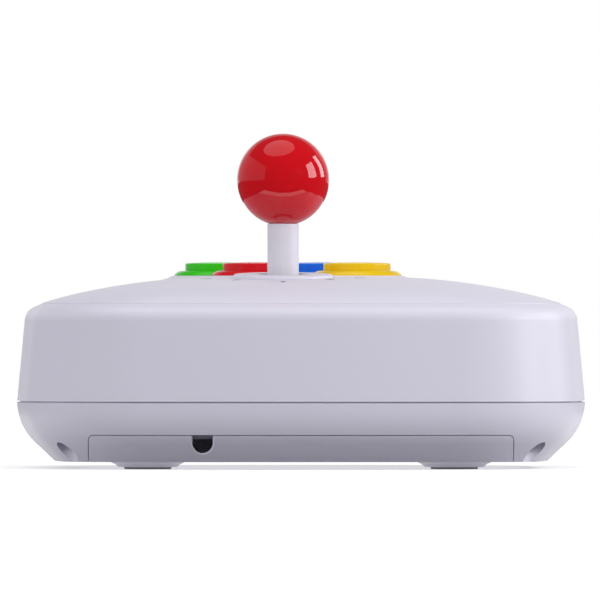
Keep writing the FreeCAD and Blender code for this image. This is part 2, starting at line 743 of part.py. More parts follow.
def compartment_door():
    outside = lower_form(0.0)
    skin = outside.cut(lower_form(DOOR_WALL))
    half = DOOR_HALF_WIDTH
    top = DOOR_TOP_Z + NOTCH_OVERRUN
    plate = skin.common(block(-CASE_LENGTH, DOOR_INNER_X, -half, half, 0, top)).cut(notch(top + OVERCUT))
    plate = plate.makeChamfer(NOTCH_CHAMFER, notch_edges(plate, outside.Shells[0], top))
    plate = plate.common(door_blank(0.0))
    reach = 2 * (DOOR_HALF_WIDTH + HINGE_PIN_LENGTH)
    pins = rod_along(HINGE_PIN_RADIUS, V(HINGE_X, -reach / 2, HINGE_Z), ALONG_Y, reach)
    return fused([plate, pins])


def foot_pad(x, y):
    radius = FOOT_PAD_RADIUS
    edge = FOOT_PAD_EDGE
    points = ((0, 0), (radius - edge, 0), (radius, edge), (radius, FOOT_PAD_DEPTH), (0, FOOT_PAD_DEPTH))
    return turned_polygon(points, x, y)


def screw(seat_z, tip_z, x, y):
    """Pan head screw, driven upwards: head under the seat, shank above it."""
    head_z = seat_z - SCREW_HEAD_HEIGHT
    edge = SCREW_HEAD_EDGE
    points = (
        (0, head_z),
        (SCREW_HEAD_RADIUS - edge, head_z),
        (SCREW_HEAD_RADIUS, head_z + edge),
        (SCREW_HEAD_RADIUS, seat_z),
        (SCREW_RADIUS, seat_z),
        (SCREW_RADIUS, tip_z - SCREW_RADIUS),
        (0, tip_z),
    )
    return turned_polygon(points, x, y)


def screws(seat_z, tip_z, places):
    return Part.makeCompound([screw(seat_z, tip_z, x, y) for x, y in places])


def cable_inlet():
    back_x = ROOM_BACK_X + ROOM_WALL
    front_x = ROOM_BACK_X - INLET_REACH
    end_x = back_x + INLET_DEPTH
    body = inlet_block(0.0, front_x, end_x)
    flange = inlet_block(INLET_FLANGE, back_x, back_x + INLET_FLANGE_THICKNESS)
    mouth = inlet_block(-INLET_WALL, front_x - OVERCUT, back_x + INLET_MOUTH_DEPTH)
    half_tongue = INLET_TONGUE_WIDTH / 2
    tongue = block(
        front_x + INLET_WALL, end_x - INLET_WALL,
        INLET_Y - half_tongue, INLET_Y + half_tongue,
        INLET_Z - INLET_WALL / 2, INLET_Z + INLET_WALL / 2,
    )
    return fused([fused([body, flange]).cut(mouth), tongue])


def lead_path():
    """Inside lead from the back of the inlet, along the floor and up to the main board."""
    start_x = ROOM_BACK_X + ROOM_WALL + INLET_DEPTH
    board_x = BOARD_LEFT_X + BOARD_HOLE_INSET * 2
    knee_x = (start_x + board_x) / 2
    knee_z = (INLET_Z + BOARD_Z) / 2
    points = (
        V(start_x, INLET_Y, INLET_Z),
        V(knee_x, INLET_Y, INLET_Z),
        V(board_x, INLET_Y, knee_z),
        V(board_x, INLET_Y, BOARD_Z),
    )
    return points


def inlet_lead():
    points = lead_path()
    edges = []
    last = points[0]
    for before, corner, after in zip(points, points[1:], points[2:]):
        back = before - corner
        ahead = after - corner
        reach = LEAD_BEND_SHARE * min(back.Length, ahead.Length)
        start = corner + unit(back) * reach
        end = corner + unit(ahead) * reach
        half_turn = back.getAngle(ahead) / 2
        radius = reach * math.tan(half_turn)
        bisector = unit(unit(back) + unit(ahead))
        middle = corner + bisector * (radius / math.sin(half_turn) - radius)
        edges += [line(last, start), arc(start, middle, end)]
        last = end
    edges.append(line(last, points[-1]))
    profile = Part.Wire(Part.makeCircle(LEAD_RADIUS, points[0], ALONG_X))
    return Part.Wire(edges).makePipeShell([profile], True, False)


def stick_collar():
    disc = rod(COLLAR_RADIUS, 0, COLLAR_THICKNESS)
    disc = disc.makeFillet(COLLAR_EDGE, level_edges(disc, COLLAR_THICKNESS))
    spigot = rod(SPIGOT_RADIUS, -SPIGOT_LENGTH, COLLAR_THICKNESS / 2)
    collar = collar_placed(fused([disc, spigot]))
    return collar.cut(rod(COLLAR_HOLE_RADIUS, PIVOT_Z, BALL_Z, STICK_X, STICK_Y))


def ball_top():
    ball = Part.makeSphere(BALL_RADIUS, V(STICK_X, STICK_Y, BALL_Z))
    foot = rod(BALL_RADIUS, SLEEVE_TOP_Z - BALL_RADIUS, SLEEVE_TOP_Z, STICK_X, STICK_Y)
    bore_top = SLEEVE_TOP_Z + SHAFT_END_LENGTH + BORE_END_ROOM
    bore = rod(SHAFT_END_RADIUS + SEAT_GAP, SLEEVE_TOP_Z, bore_top, STICK_X, STICK_Y)
    return ball.cut([foot, bore])


def shaft_sleeve():
    low_z = PIVOT_Z + BEAD_HALF_HEIGHT
    return ring(SLEEVE_RADIUS, SHAFT_RADIUS + SEAT_GAP, low_z, SLEEVE_TOP_Z, STICK_X, STICK_Y)


def lever_shaft():
    shaft = rod(SHAFT_RADIUS, SHAFT_LOWER_Z, SLEEVE_TOP_Z, STICK_X, STICK_Y)
    end = rod(SHAFT_END_RADIUS, SHAFT_LOWER_Z, SLEEVE_TOP_Z + SHAFT_END_LENGTH, STICK_X, STICK_Y)
    solid = fused([shaft, end])
    groove_z = ACTUATOR_Z - CLIP_THICKNESS
    groove = ring(SHAFT_RADIUS + OVERCUT, CLIP_GROOVE_RADIUS, groove_z, ACTUATOR_Z, STICK_X, STICK_Y)
    return solid.cut([groove, cross_bore(PIN_RADIUS)])


def cross_bore(radius):
    reach = 2 * LUG_OUTER
    return rod_along(radius, V(STICK_X, STICK_Y - reach / 2, PIVOT_Z), ALONG_Y, reach)


def trunnion_bore(radius):
    reach = 2 * PLATE_HALF
    return rod_along(radius, V(STICK_X - reach / 2, STICK_Y, PIVOT_Z), ALONG_X, reach)


def pivot_bead():
    ball = Part.makeSphere(BEAD_RADIUS, V(STICK_X, STICK_Y, PIVOT_Z))
    half = BEAD_HALF_HEIGHT
    slab = rod(BEAD_RADIUS + OVERCUT, PIVOT_Z - half, PIVOT_Z + half, STICK_X, STICK_Y)
    shaft = rod(SHAFT_RADIUS + SEAT_GAP, PIVOT_Z - BEAD_RADIUS, PIVOT_Z + BEAD_RADIUS, STICK_X, STICK_Y)
    return ball.common(slab).cut([shaft, cross_bore(PIN_RADIUS)])


def cross_pin():
    length = 2 * (RING_OUTER - PIN_RADIUS / 2)
    return rod_along(PIN_RADIUS, V(STICK_X, STICK_Y - length / 2, PIVOT_Z), ALONG_Y, length)


def gimbal_ring():
    half = RING_HALF_HEIGHT
    body = ring(RING_OUTER, RING_INNER, PIVOT_Z - half, PIVOT_Z + half, STICK_X, STICK_Y)
    bore = PIN_RADIUS + PIN_CLEARANCE
    return body.cut([cross_bore(bore), trunnion_bore(bore)])


def trunnion_pins():
    start = RING_INNER + PIN_RADIUS / 2
    length = LUG_OUTER - start
    pins = []
    for side in (1, -1):
        point = V(STICK_X + side * start, STICK_Y, PIVOT_Z)
        pins.append(rod_along(PIN_RADIUS, point, V(side, 0, 0), length))
    return Part.makeCompound(pins)


def lever_housing():
    half = PLATE_HALF
    x0, x1 = STICK_X - half, STICK_X + half
    y0, y1 = STICK_Y - half, STICK_Y + half
    pieces = [rounded_block(x0, x1, y0, y1, PLATE_Z, PLATE_TOP_Z, PLATE_CORNER)]
    for side in (1, -1):
        lug_x = sorted((STICK_X + side * LUG_INNER, STICK_X + side * LUG_OUTER))
        lug_y = (STICK_Y - LUG_HALF_WIDTH, STICK_Y + LUG_HALF_WIDTH)
        lug = block(lug_x[0], lug_x[1], lug_y[0], lug_y[1], PLATE_Z, PIVOT_Z)
        point = V(lug_x[0], STICK_Y, PIVOT_Z)
        eye = rod_along(LUG_HALF_WIDTH, point, ALONG_X, LUG_THICKNESS)
        pieces += [lug, eye]
    pieces += [rod(POST_RADIUS, LEVER_BOARD_TOP_Z, PLATE_TOP_Z, x, y) for x, y in post_places()]
    solid = fused(pieces)
    cuts = [rod(PLATE_HOLE_RADIUS, PLATE_Z, PLATE_TOP_Z, STICK_X, STICK_Y), trunnion_bore(PIN_RADIUS)]
    cuts += [rod(SCREW_RADIUS + SCREW_GAP, PLATE_Z, PLATE_TOP_Z, x, y) for x, y in housing_screw_places()]
    pilot_top = LEVER_BOARD_TOP_Z + GATE_SCREW_BITE + PILOT_END_ROOM
    cuts += [rod(SCREW_RADIUS + PILOT_GAP, LEVER_BOARD_TOP_Z, pilot_top, x, y) for x, y in post_places()]
    return solid.cut(cuts)


def centering_spring():
    """Coil of round wire, drawn as short straight lengths with a many-sided section."""
    low = ACTUATOR_TOP_Z + SPRING_END_GAP + SPRING_WIRE
    high = PLATE_Z - SPRING_END_GAP - SPRING_WIRE
    steps = round(SPRING_TURNS * SPRING_STEPS)
    wires = []
    for step in range(steps + 1):
        wire = Part.makePolygon([wire_point(side) for side in range(SPRING_SIDES + 1)])
        wire.rotate(V(0, 0, 0), UP, 360 * step / SPRING_STEPS)
        wire.translate(V(STICK_X, STICK_Y, low + (high - low) * step / steps))
        wires.append(wire)
    return Part.makeLoft(wires, True, True)


def wire_point(side):
    """Corner of the spring wire's section, in the upright plane through the coil's axis."""
    angle = 2 * math.pi * (side % SPRING_SIDES) / SPRING_SIDES
    return V(SPRING_RADIUS + SPRING_WIRE * math.cos(angle), 0, SPRING_WIRE * math.sin(angle))


def actuator():
    bore = SHAFT_RADIUS + SEAT_GAP
    low = ACTUATOR_Z
    flange_z = ACTUATOR_TOP_Z - ACTUATOR_FLANGE_THICKNESS
    points = (
        (bore, low),
        (ACTUATOR_RADIUS, low),
        (ACTUATOR_RADIUS, flange_z),
        (ACTUATOR_FLANGE_RADIUS, flange_z),
        (ACTUATOR_FLANGE_RADIUS, ACTUATOR_TOP_Z),
        (bore, ACTUATOR_TOP_Z),
    )
    return turned_polygon(points, STICK_X, STICK_Y)


def retaining_clip():
    z0 = ACTUATOR_Z - CLIP_THICKNESS
    clip = ring(CLIP_RADIUS, CLIP_GROOVE_RADIUS + SEAT_GAP, z0, ACTUATOR_Z, STICK_X, STICK_Y)
    half = CLIP_GROOVE_RADIUS
    mouth = block(STICK_X, STICK_X + 2 * CLIP_RADIUS, STICK_Y - half, STICK_Y + half, z0, ACTUATOR_Z)
    return clip.cut(mouth)


def square_plate(half, corner, z0, z1, opening, opening_corner):
    x0, x1 = STICK_X - half, STICK_X + half
    y0, y1 = STICK_Y - half, STICK_Y + half
    plate = rounded_block(x0, x1, y0, y1, z0, z1, corner)
    hole = rounded_block(
        STICK_X - opening, STICK_X + opening, STICK_Y - opening, STICK_Y + opening, z0, z1, opening_corner)
    screws_through = [rod(SCREW_RADIUS + SCREW_GAP, z0, z1, x, y) for x, y in post_places()]
    return plate.cut([hole] + screws_through)


def restrictor_gate():
    opening = swing_reach(PIVOT_Z - GATE_Z) + GATE_CLEAR
    return square_plate(LEVER_BOARD_HALF, PLATE_CORNER, GATE_Z, GATE_TOP_Z, opening, GATE_CORNER)


def lever_board():
    opening = swing_reach(PIVOT_Z - GATE_TOP_Z) + 2 * GATE_CLEAR
    return square_plate(LEVER_BOARD_HALF, PLATE_CORNER, GATE_TOP_Z, LEVER_BOARD_TOP_Z, opening, GATE_CORNER)


LEVER_SWITCH_TURNS = {"right": 0, "rear": 90, "left": 180, "front": 270}


def lever_switch_faces():
    """Distance from the stick's axis to a plunger's tip and to its switch's face."""
    tip = swing_reach(SWITCH_DROP + PLUNGER_RADIUS) + PLUNGER_CLEAR
    return tip, tip + PLUNGER_REACH


def placed_at_stick(solid, turn):
    solid.rotate(V(0, 0, 0), UP, turn)
    solid.translate(V(STICK_X, STICK_Y, SWITCH_Z))
    return solid


def lever_switch(turn):
    face = lever_switch_faces()[1]
    half_length = SWITCH_LENGTH / 2
    half_thick = SWITCH_THICKNESS / 2
    body = block(face, face + SWITCH_HEIGHT, -half_length, half_length, -half_thick, half_thick)
    depth = PLUNGER_INSIDE + PLUNGER_TRAVEL + PLUNGER_END_ROOM
    bore = rod_along(PLUNGER_RADIUS + SWITCH_HOLE_GAP, V(face, 0, 0), ALONG_X, depth)
    return placed_at_stick(body.cut(bore), turn)


def lever_plunger(turn):
    tip, face = lever_switch_faces()
    pin = rod_along(PLUNGER_RADIUS, V(tip, 0, 0), ALONG_X, face + PLUNGER_INSIDE - tip)
    return placed_at_stick(pin, turn)


def lever_ribbon():
    """Flat ribbon: laps on the lever board, turns up and laps under the main board."""
    low = LEVER_BOARD_TOP_Z
    high = BOARD_Z - RIBBON_THICKNESS
    start_x = STICK_X + LEVER_BOARD_HALF - RIBBON_LAP
    end_x = BOARD_LEFT_X + RIBBON_LAP
    rise_x = (STICK_X + LEVER_BOARD_HALF + BOARD_LEFT_X) / 2
    y0 = STICK_Y + RIBBON_Y - RIBBON_WIDTH / 2
    bend = RIBBON_BEND
    inner = bend - RIBBON_THICKNESS
    turn = math.sqrt(0.5)
    low_centre = V(rise_x - inner, y0, low + bend)
    high_centre = V(rise_x + bend, y0, high - inner)

    def on(centre, radius, sign_x, sign_z):
        return centre + V(radius * sign_x, 0, radius * sign_z)

    edges = [
        line(V(start_x, y0, low), on(low_centre, bend, 0, -1)),
        arc(on(low_centre, bend, 0, -1), on(low_centre, bend, turn, -turn), on(low_centre, bend, 1, 0)),
        line(on(low_centre, bend, 1, 0), on(high_centre, inner, -1, 0)),
        arc(on(high_centre, inner, -1, 0), on(high_centre, inner, -turn, turn),
            on(high_centre, inner, 0, 1)),
        line(on(high_centre, inner, 0, 1), V(end_x, y0, high)),
        line(V(end_x, y0, high), V(end_x, y0, high + RIBBON_THICKNESS)),
        line(V(end_x, y0, high + RIBBON_THICKNESS), on(high_centre, bend, 0, 1)),
        arc(on(high_centre, bend, 0, 1), on(high_centre, bend, -turn, turn), on(high_centre, bend, -1, 0)),
        line(on(high_centre, bend, -1, 0), on(low_centre, inner, 1, 0)),
        arc(on(low_centre, inner, 1, 0), on(low_centre, inner, turn, -turn), on(low_centre, inner, 0, -1)),
        line(on(low_centre, inner, 0, -1), V(start_x, y0, low + RIBBON_THICKNESS)),
        line(V(start_x, y0, low + RIBBON_THICKNESS), V(start_x, y0, low)),
    ]
    return Part.Face(Part.Wire(edges)).extrude(V(0, RIBBON_WIDTH, 0))


def bezel(middle):
    """Button rim with its round shoulder, and the barrel that snaps under the panel."""
    step_z = ISLAND_Z - BARREL_STEP_DEPTH
    edge_z = ISLAND_Z + BEZEL_EDGE
    shoulder = V(BEZEL_RADIUS, 0, edge_z)
    crown = V(BEZEL_CROWN_RADIUS, 0, BEZEL_TOP_Z)
    rise = crown - shoulder
    bulge = (shoulder + crown) * 0.5 + unit(V(rise.z, 0, -rise.x)) * BEZEL_BULGE
    corners = [
        V(BEZEL_BORE, 0, BEZEL_TOP_Z),
        V(BEZEL_BORE, 0, step_z),
        V(BARREL_LOWER_BORE, 0, step_z),
        V(BARREL_LOWER_BORE, 0, BARREL_END_Z),
        V(BARREL_RADIUS, 0, BARREL_END_Z),
        V(BARREL_RADIUS, 0, ISLAND_Z),
        V(BEZEL_RADIUS, 0, ISLAND_Z),
        shoulder,
    ]
    edges = [line(corners[i], corners[i + 1]) for i in range(len(corners) - 1)]
    edges += [arc(shoulder, bulge, crown), line(crown, corners[0])]
    solid = turned(edges)
    under_z = PANEL_TOP_Z - WALL - SNAP_TAB_GAP
    half = SNAP_TAB_WIDTH / 2
    reach = BARREL_RADIUS + SNAP_TAB_REACH
    band = ring(reach, BARREL_RADIUS - BARREL_GAP, under_z - SNAP_TAB_LENGTH, under_z)
    bar = block(-reach, reach, -half, half, under_z - SNAP_TAB_LENGTH, under_z)
    solid = fused([solid, band.common(bar)])
    solid.translate(middle)
    return solid


def cap(middle):
    """Push cap: crowned top with a round edge, skirt with a stop flange, stem on the switch."""
    step_z = ISLAND_Z - BARREL_STEP_DEPTH
    flange_top = step_z - CAP_STOP_GAP
    low = flange_top - CAP_FLANGE_HEIGHT
    flange = BARREL_LOWER_BORE - CAP_FLANGE_GAP
    edge_z = CAP_TOP_Z - CAP_CROWN
    flat = CAP_RADIUS - CAP_EDGE
    roof_z = edge_z - CAP_TOP_THICKNESS
    inner = CAP_RADIUS - CAP_SKIRT_THICKNESS
    top = V(0, 0, CAP_TOP_Z)
    crown = V(flat, 0, edge_z)
    side = V(CAP_RADIUS, 0, edge_z - CAP_EDGE)
    round_middle = V(flat, 0, edge_z - CAP_EDGE) + V(1, 0, 1) * (CAP_EDGE * math.sqrt(0.5))
    crown_middle = V(flat / 2, 0, CAP_TOP_Z - CAP_CROWN / 4)
    corners = [
        side,
        V(CAP_RADIUS, 0, flange_top),
        V(flange, 0, flange_top),
        V(flange, 0, low),
        V(inner, 0, low),
        V(inner, 0, roof_z),
        V(STEM_RADIUS, 0, roof_z),
        V(STEM_RADIUS, 0, STEM_END_Z),
        V(0, 0, STEM_END_Z),
        top,
    ]
    edges = [arc(top, crown_middle, crown), arc(crown, round_middle, side)]
    edges += [line(corners[i], corners[i + 1]) for i in range(len(corners) - 1)]
    return turned(edges, middle.x, middle.y)


def button_switch(middle):
    half_length = SWITCH_LENGTH / 2
    half_thick = SWITCH_THICKNESS / 2
    top = BUTTON_SWITCH_TOP_Z
    body = block(-half_length, half_length, -half_thick, half_thick, BOARD_TOP_Z, top)
    depth = STEM_PLUNGER_INSIDE + CAP_TRAVEL + PLUNGER_END_ROOM
    body = body.cut(rod(STEM_PLUNGER_RADIUS + SWITCH_HOLE_GAP, top - depth, top))
    body.translate(middle)
    return body


def button_plunger(middle):
    low = BUTTON_SWITCH_TOP_Z - STEM_PLUNGER_INSIDE
    return rod(STEM_PLUNGER_RADIUS, low, STEM_END_Z, middle.x, middle.y)


def small_button(x, y):
    under_z = PANEL_TOP_Z - WALL - CAP_STOP_GAP
    flange_low = under_z - SMALL_FLANGE_HEIGHT
    flange = SMALL_RADIUS + SMALL_GAP + SMALL_FLANGE_REACH
    stem_end = BOARD_TOP_Z + SMALL_SWITCH_HEIGHT + SMALL_PLUNGER_OUT
    points = (
        (0, stem_end),
        (SMALL_STEM_RADIUS, stem_end),
        (SMALL_STEM_RADIUS, flange_low),
        (flange, flange_low),
        (flange, under_z),
        (SMALL_RADIUS, under_z),
        (SMALL_RADIUS, SMALL_TOP_Z - SMALL_EDGE),
        (SMALL_RADIUS - SMALL_EDGE, SMALL_TOP_Z),
        (0, SMALL_TOP_Z),
    )
    return turned_polygon(points, x, y)


def small_switch(x, y):
    half = SMALL_SWITCH_HALF
    top = BOARD_TOP_Z + SMALL_SWITCH_HEIGHT
    body = block(x - half, x + half, y - half, y + half, BOARD_TOP_Z, top)
    depth = SMALL_PLUNGER_INSIDE + SMALL_TRAVEL + PLUNGER_END_ROOM
    return body.cut(rod(SMALL_PLUNGER_RADIUS + SWITCH_HOLE_GAP, top - depth, top, x, y))


def small_plunger(x, y):
    top = BOARD_TOP_Z + SMALL_SWITCH_HEIGHT
    return rod(SMALL_PLUNGER_RADIUS, top - SMALL_PLUNGER_INSIDE, top + SMALL_PLUNGER_OUT, x, y)


def main_board():
    plate = rounded_block(
        BOARD_LEFT_X, BOARD_RIGHT_X, BOARD_FRONT_Y, BOARD_REAR_Y, BOARD_Z, BOARD_TOP_Z, BOARD_CORNER)
    holes = [rod(SCREW_RADIUS + SCREW_GAP, BOARD_Z, BOARD_TOP_Z, x, y) for x, y in board_screw_places()]
    return plate.cut(holes)


def all_parts():
    """Every node's name with its shape."""
    parts = {
        "top_shell": top_shell(),
        "bottom_shell": bottom_shell(),
        "compartment_door": compartment_door(),
        "cable_inlet": cable_inlet(),
        "inlet_lead": inlet_lead(),
        "case_screws": screws(WELL_SEAT_Z, PILLAR_TOP_Z + CASE_SCREW_BITE, well_places()),
        "stick_collar": stick_collar(),
        "ball_top": ball_top(),
        "shaft_sleeve": shaft_sleeve(),
        "lever_shaft": lever_shaft(),
        "pivot_bead": pivot_bead(),
        "cross_pin": cross_pin(),
        "gimbal_ring": gimbal_ring(),
        "trunnion_pins": trunnion_pins(),
        "lever_housing": lever_housing(),
        "housing_screws": screws(PLATE_Z, PLATE_TOP_Z + HOUSING_SCREW_BITE, housing_screw_places()),
        "centering_spring": centering_spring(),
        "actuator": actuator(),
        "retaining_clip": retaining_clip(),
        "restrictor_gate": restrictor_gate(),
        "gate_screws": screws(GATE_Z, LEVER_BOARD_TOP_Z + GATE_SCREW_BITE, post_places()),
        "lever_board": lever_board(),
        "lever_ribbon": lever_ribbon(),
        "main_board": main_board(),
        "board_screws": screws(BOARD_Z, BOARD_TOP_Z + BOARD_SCREW_BITE, board_screw_places()),
    }
    for place, (x, y) in foot_places().items():
        parts[f"foot_pad_{place}"] = foot_pad(x, y)
    for side, turn in LEVER_SWITCH_TURNS.items():
        parts[f"lever_switch_{side}"] = lever_switch(turn)
        parts[f"lever_plunger_{side}"] = lever_plunger(turn)
    for colour, middle in button_places().items():
        parts[f"{colour}_bezel"] = bezel(middle)
        parts[f"{colour}_cap"] = cap(middle)
        parts[f"{colour}_switch"] = button_switch(middle)
        parts[f"{colour}_plunger"] = button_plunger(middle)
    for name, (x, y) in small_button_places().items():
        parts[f"{name}_button"] = small_button(x, y)
        parts[f"{name}_switch"] = small_switch(x, y)
        parts[f"{name}_plunger"] = small_plunger(x, y)
    return parts


os.makedirs("parts", exist_ok=True)
for node, shape in all_parts().items():
    shape.exportStep(f"parts/{node}.step")
    box = shape.BoundBox
    print(f"{node}: {len(shape.Solids)} solids, valid {shape.isValid()}, {shape.Volume:.0f} mm3, "
          f"z {box.ZMin:.2f} to {box.ZMax:.2f}")
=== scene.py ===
"""Finishes the arcade stick: plastics, marks, screws, spring, foot pads and a studio stage."""
import json
import math

import bmesh
import bpy
from bpy.props import FloatProperty, FloatVectorProperty, IntProperty, PointerProperty
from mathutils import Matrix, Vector


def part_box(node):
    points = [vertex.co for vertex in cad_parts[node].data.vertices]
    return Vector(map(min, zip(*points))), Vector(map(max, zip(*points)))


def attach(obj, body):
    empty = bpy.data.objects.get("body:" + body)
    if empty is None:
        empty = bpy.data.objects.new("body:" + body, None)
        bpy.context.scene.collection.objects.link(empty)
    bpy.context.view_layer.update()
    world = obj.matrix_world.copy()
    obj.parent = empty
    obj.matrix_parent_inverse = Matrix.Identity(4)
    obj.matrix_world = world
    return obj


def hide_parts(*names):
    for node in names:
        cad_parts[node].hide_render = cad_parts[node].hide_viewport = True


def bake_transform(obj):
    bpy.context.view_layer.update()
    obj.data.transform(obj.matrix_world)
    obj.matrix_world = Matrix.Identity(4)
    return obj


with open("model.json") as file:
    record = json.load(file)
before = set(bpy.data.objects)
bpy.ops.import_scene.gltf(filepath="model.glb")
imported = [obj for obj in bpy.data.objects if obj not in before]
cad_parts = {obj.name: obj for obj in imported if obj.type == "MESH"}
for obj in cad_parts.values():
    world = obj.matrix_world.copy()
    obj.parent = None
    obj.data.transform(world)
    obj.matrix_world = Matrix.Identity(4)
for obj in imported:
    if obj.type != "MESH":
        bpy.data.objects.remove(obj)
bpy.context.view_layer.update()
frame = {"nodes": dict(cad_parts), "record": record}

bl_info = {
    "name": "Arcade Stick Finisher",
    "version": (1, 0, 0),
    "blender": (4, 5, 0),
    "location": "View3D > Sidebar > Arcade Stick",
    "description": "Gives an arcade stick its finishes and small pieces, and sets a studio stage",
    "category": "Object",
}

UP = (0.0, 0.0, 1.0)
DOWN = (0.0, 0.0, -1.0)


# Places read from the frame
def middle_of(node):
    low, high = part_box(node)
    return (low + high) / 2


def base_of(low, high):
    """Middle of the underside of a box."""
    return Vector(((low.x + high.x) / 2, (low.y + high.y) / 2, low.z))


STICK_MIDDLE = middle_of("lever_shaft")
SCREW_NODES = ("case_screws", "housing_screws", "gate_screws", "board_screws")
BUTTON_COLOURS = ("red", "yellow", "blue", "green")
FOOT_NODES = [name for name in sorted(frame["nodes"]) if name.startswith("foot_pad_")]
BODIES = frame["record"]["behaviour"]["bodies"]
BODY_OF = {node: body for body, nodes in BODIES.items() for node in nodes}

# Mesh fineness
SMOOTH_ANGLE = math.radians(32)
MERGE_DISTANCE = 1e-7
FOOT_SIDES = 64
FOOT_EDGE_STEPS = 4
SCREW_SIDES = 32
COIL_STEPS = 40
WIRE_SIDES = 12

# Stage: lengths in metres
SENSOR_WIDTH = 36.0
LAMP_TARGET = (STICK_MIDDLE.x / 2, 0.0, 0.05)
FLOOR_RADIUS = 8.0
FLOOR_SIDES = 96
FLOOR_PALE = (0.85, 0.85, 0.85, 1.0)
FLOOR_QUIET = (0.28, 0.28, 0.30, 1.0)
NEAR_GLOW = 0.45
FAR_GLOW = 0.85
GLOW_FADE_START = 0.35
GLOW_FADE_LENGTH = 0.85
ROOM_TINT = (0.97, 0.97, 1.0, 1.0)
CARD_TINT = (0.9, 0.92, 1.0, 1.0)
CARD_STRENGTHS = {"Dark card": 0.10, "Grey card": 0.50, "Bright card": 6.0}
WHITE = (1.0, 1.0, 1.0, 1.0)


# Node writing
class Wire:
    """A node's output that joins in arithmetic: each operator adds a Math node."""

    def __init__(self, sketch, node, output=0):
        self.sketch = sketch
        self.node = node
        self.socket = node.outputs[output]

    def out(self, output):
        return Wire(self.sketch, self.node, output)

    def math(self, operation, first, second):
        return self.sketch.add("ShaderNodeMath", {"operation": operation}, {0: first, 1: second})

    def __add__(self, other):
        return self.math("ADD", self, other)

    def __radd__(self, other):
        return self.math("ADD", other, self)

    def __sub__(self, other):
        return self.math("SUBTRACT", self, other)

    def __rsub__(self, other):
        return self.math("SUBTRACT", other, self)

    def __mul__(self, other):
        return self.math("MULTIPLY", self, other)

    def __rmul__(self, other):
        return self.math("MULTIPLY", other, self)

    def __truediv__(self, other):
        return self.math("DIVIDE", self, other)

    def __gt__(self, other):
        return self.math("GREATER_THAN", self, other)

    def __lt__(self, other):
        return self.math("LESS_THAN", self, other)

    def __mod__(self, other):
        return self.math("MODULO", self, other)

    def swing(self, width):
        """Noise about a half, turned into a change about nought."""
        return (self - 0.5) * width


class Sketch:
    """A node tree being written."""

    def __init__(self, tree):
        self.tree = tree

    def add(self, kind, settings=None, sockets=None, output=0):
        """Make a node: its settings first, then a value or a wire for each named socket."""
        node = self.tree.nodes.new(kind)
        for name, value in (settings or {}).items():
            setattr(node, name, value)
        for key, value in (sockets or {}).items():
            if isinstance(value, Wire):
                self.tree.links.new(value.socket, node.inputs[key])
            else:
                node.inputs[key].default_value = value
        return Wire(self, node, output) if node.outputs else node

    def mix(self, factor, first, second):
        sockets = {0: factor, 6: first, 7: second}
        return self.add("ShaderNodeMix", {"data_type": "RGBA"}, sockets, 2)

    def tones(self, factor, colour, dark, light):
        """Colour that runs from a darker to a lighter share of itself."""
        return self.mix(factor, rgba(colour, dark), rgba(colour, light))

    def vector(self, operation, first, second):
        settings = {"operation": operation}
        return self.add("ShaderNodeVectorMath", settings, {0: first, 1: second})

    def place(self):
        return self.add("ShaderNodeTexCoord", output="Object")

    def noise(self, where, size, detail, stretch=None):
        """Soft noise whose features are about size across, in metres."""
        if stretch:
            sockets = {"Vector": where, "Scale": stretch}
            where = self.add("ShaderNodeMapping", {"vector_type": "POINT"}, sockets)
        sockets = {"Vector": where, "Scale": 1.0 / size, "Detail": detail}
        return self.add("ShaderNodeTexNoise", {}, sockets)

    def bump(self, height, strength, depth):
        sockets = {"Strength": strength, "Distance": depth, "Height": height}
        return self.add("ShaderNodeBump", {}, sockets)

    def emission(self, colour, strength):
        return self.add("ShaderNodeEmission", {}, {"Color": colour, "Strength": strength})

    def mix_shaders(self, factor, first, second):
        return self.add("ShaderNodeMixShader", {}, {0: factor, 1: first, 2: second})

    def surface(self, shader, kind="ShaderNodeOutputMaterial"):
        self.add(kind, {}, {"Surface": shader})

    def principled(self, **sockets):
        named = {key.replace("_", " "): value for key, value in sockets.items()}
        self.surface(self.add("ShaderNodeBsdfPrincipled", {}, named))


def rgba(colour, share=1.0):
    """Colour with alpha, made darker or lighter by a share."""
    return tuple(min(1.0, channel * share) for channel in colour[:3]) + (1.0,)


def new_finish(name):
    material = bpy.data.materials.new(name)
    material.use_nodes = True
    material.node_tree.nodes.clear()
    return material, Sketch(material.node_tree)


# Finishes
def moulded_finish(name, colour, roughness, grain_size, grain_depth, tone):
    """Moulded plastic from an etched tool: fine even grain, faint clouding in tone and sheen."""
    material, sketch = new_finish(name)
    where = sketch.place()
    cloud = sketch.noise(where, size=0.045, detail=2.0)
    grain = sketch.noise(where, size=grain_size, detail=3.0)
    flow = sketch.noise(where, size=0.012, detail=1.0, stretch=(1.0, 1.0, 0.35))
    sketch.principled(
        Base_Color=sketch.tones(cloud, colour, 1 - tone, 1 + tone),
        Roughness=grain.swing(0.10) + flow.swing(0.06) + roughness,
        Normal=sketch.bump(grain, strength=0.35, depth=grain_depth),
        IOR=1.5)
    return material


def gloss_finish(name, colour, roughness):
    """Polished coloured plastic: deep tone, faint orange peel and hair-fine handling marks."""
    material, sketch = new_finish(name)
    where = sketch.place()
    cloud = sketch.noise(where, size=0.020, detail=2.0)
    peel = sketch.noise(where, size=0.0035, detail=1.0)
    hairs = sketch.noise(where, size=0.0012, detail=3.0, stretch=(0.12, 1.0, 1.0))
    marked = hairs > 0.64
    sketch.principled(
        Base_Color=sketch.tones(cloud, colour, 0.94, 1.05),
        Roughness=marked * 0.05 + roughness,
        Normal=sketch.bump(peel, strength=0.12, depth=0.00004),
        IOR=1.5)
    return material


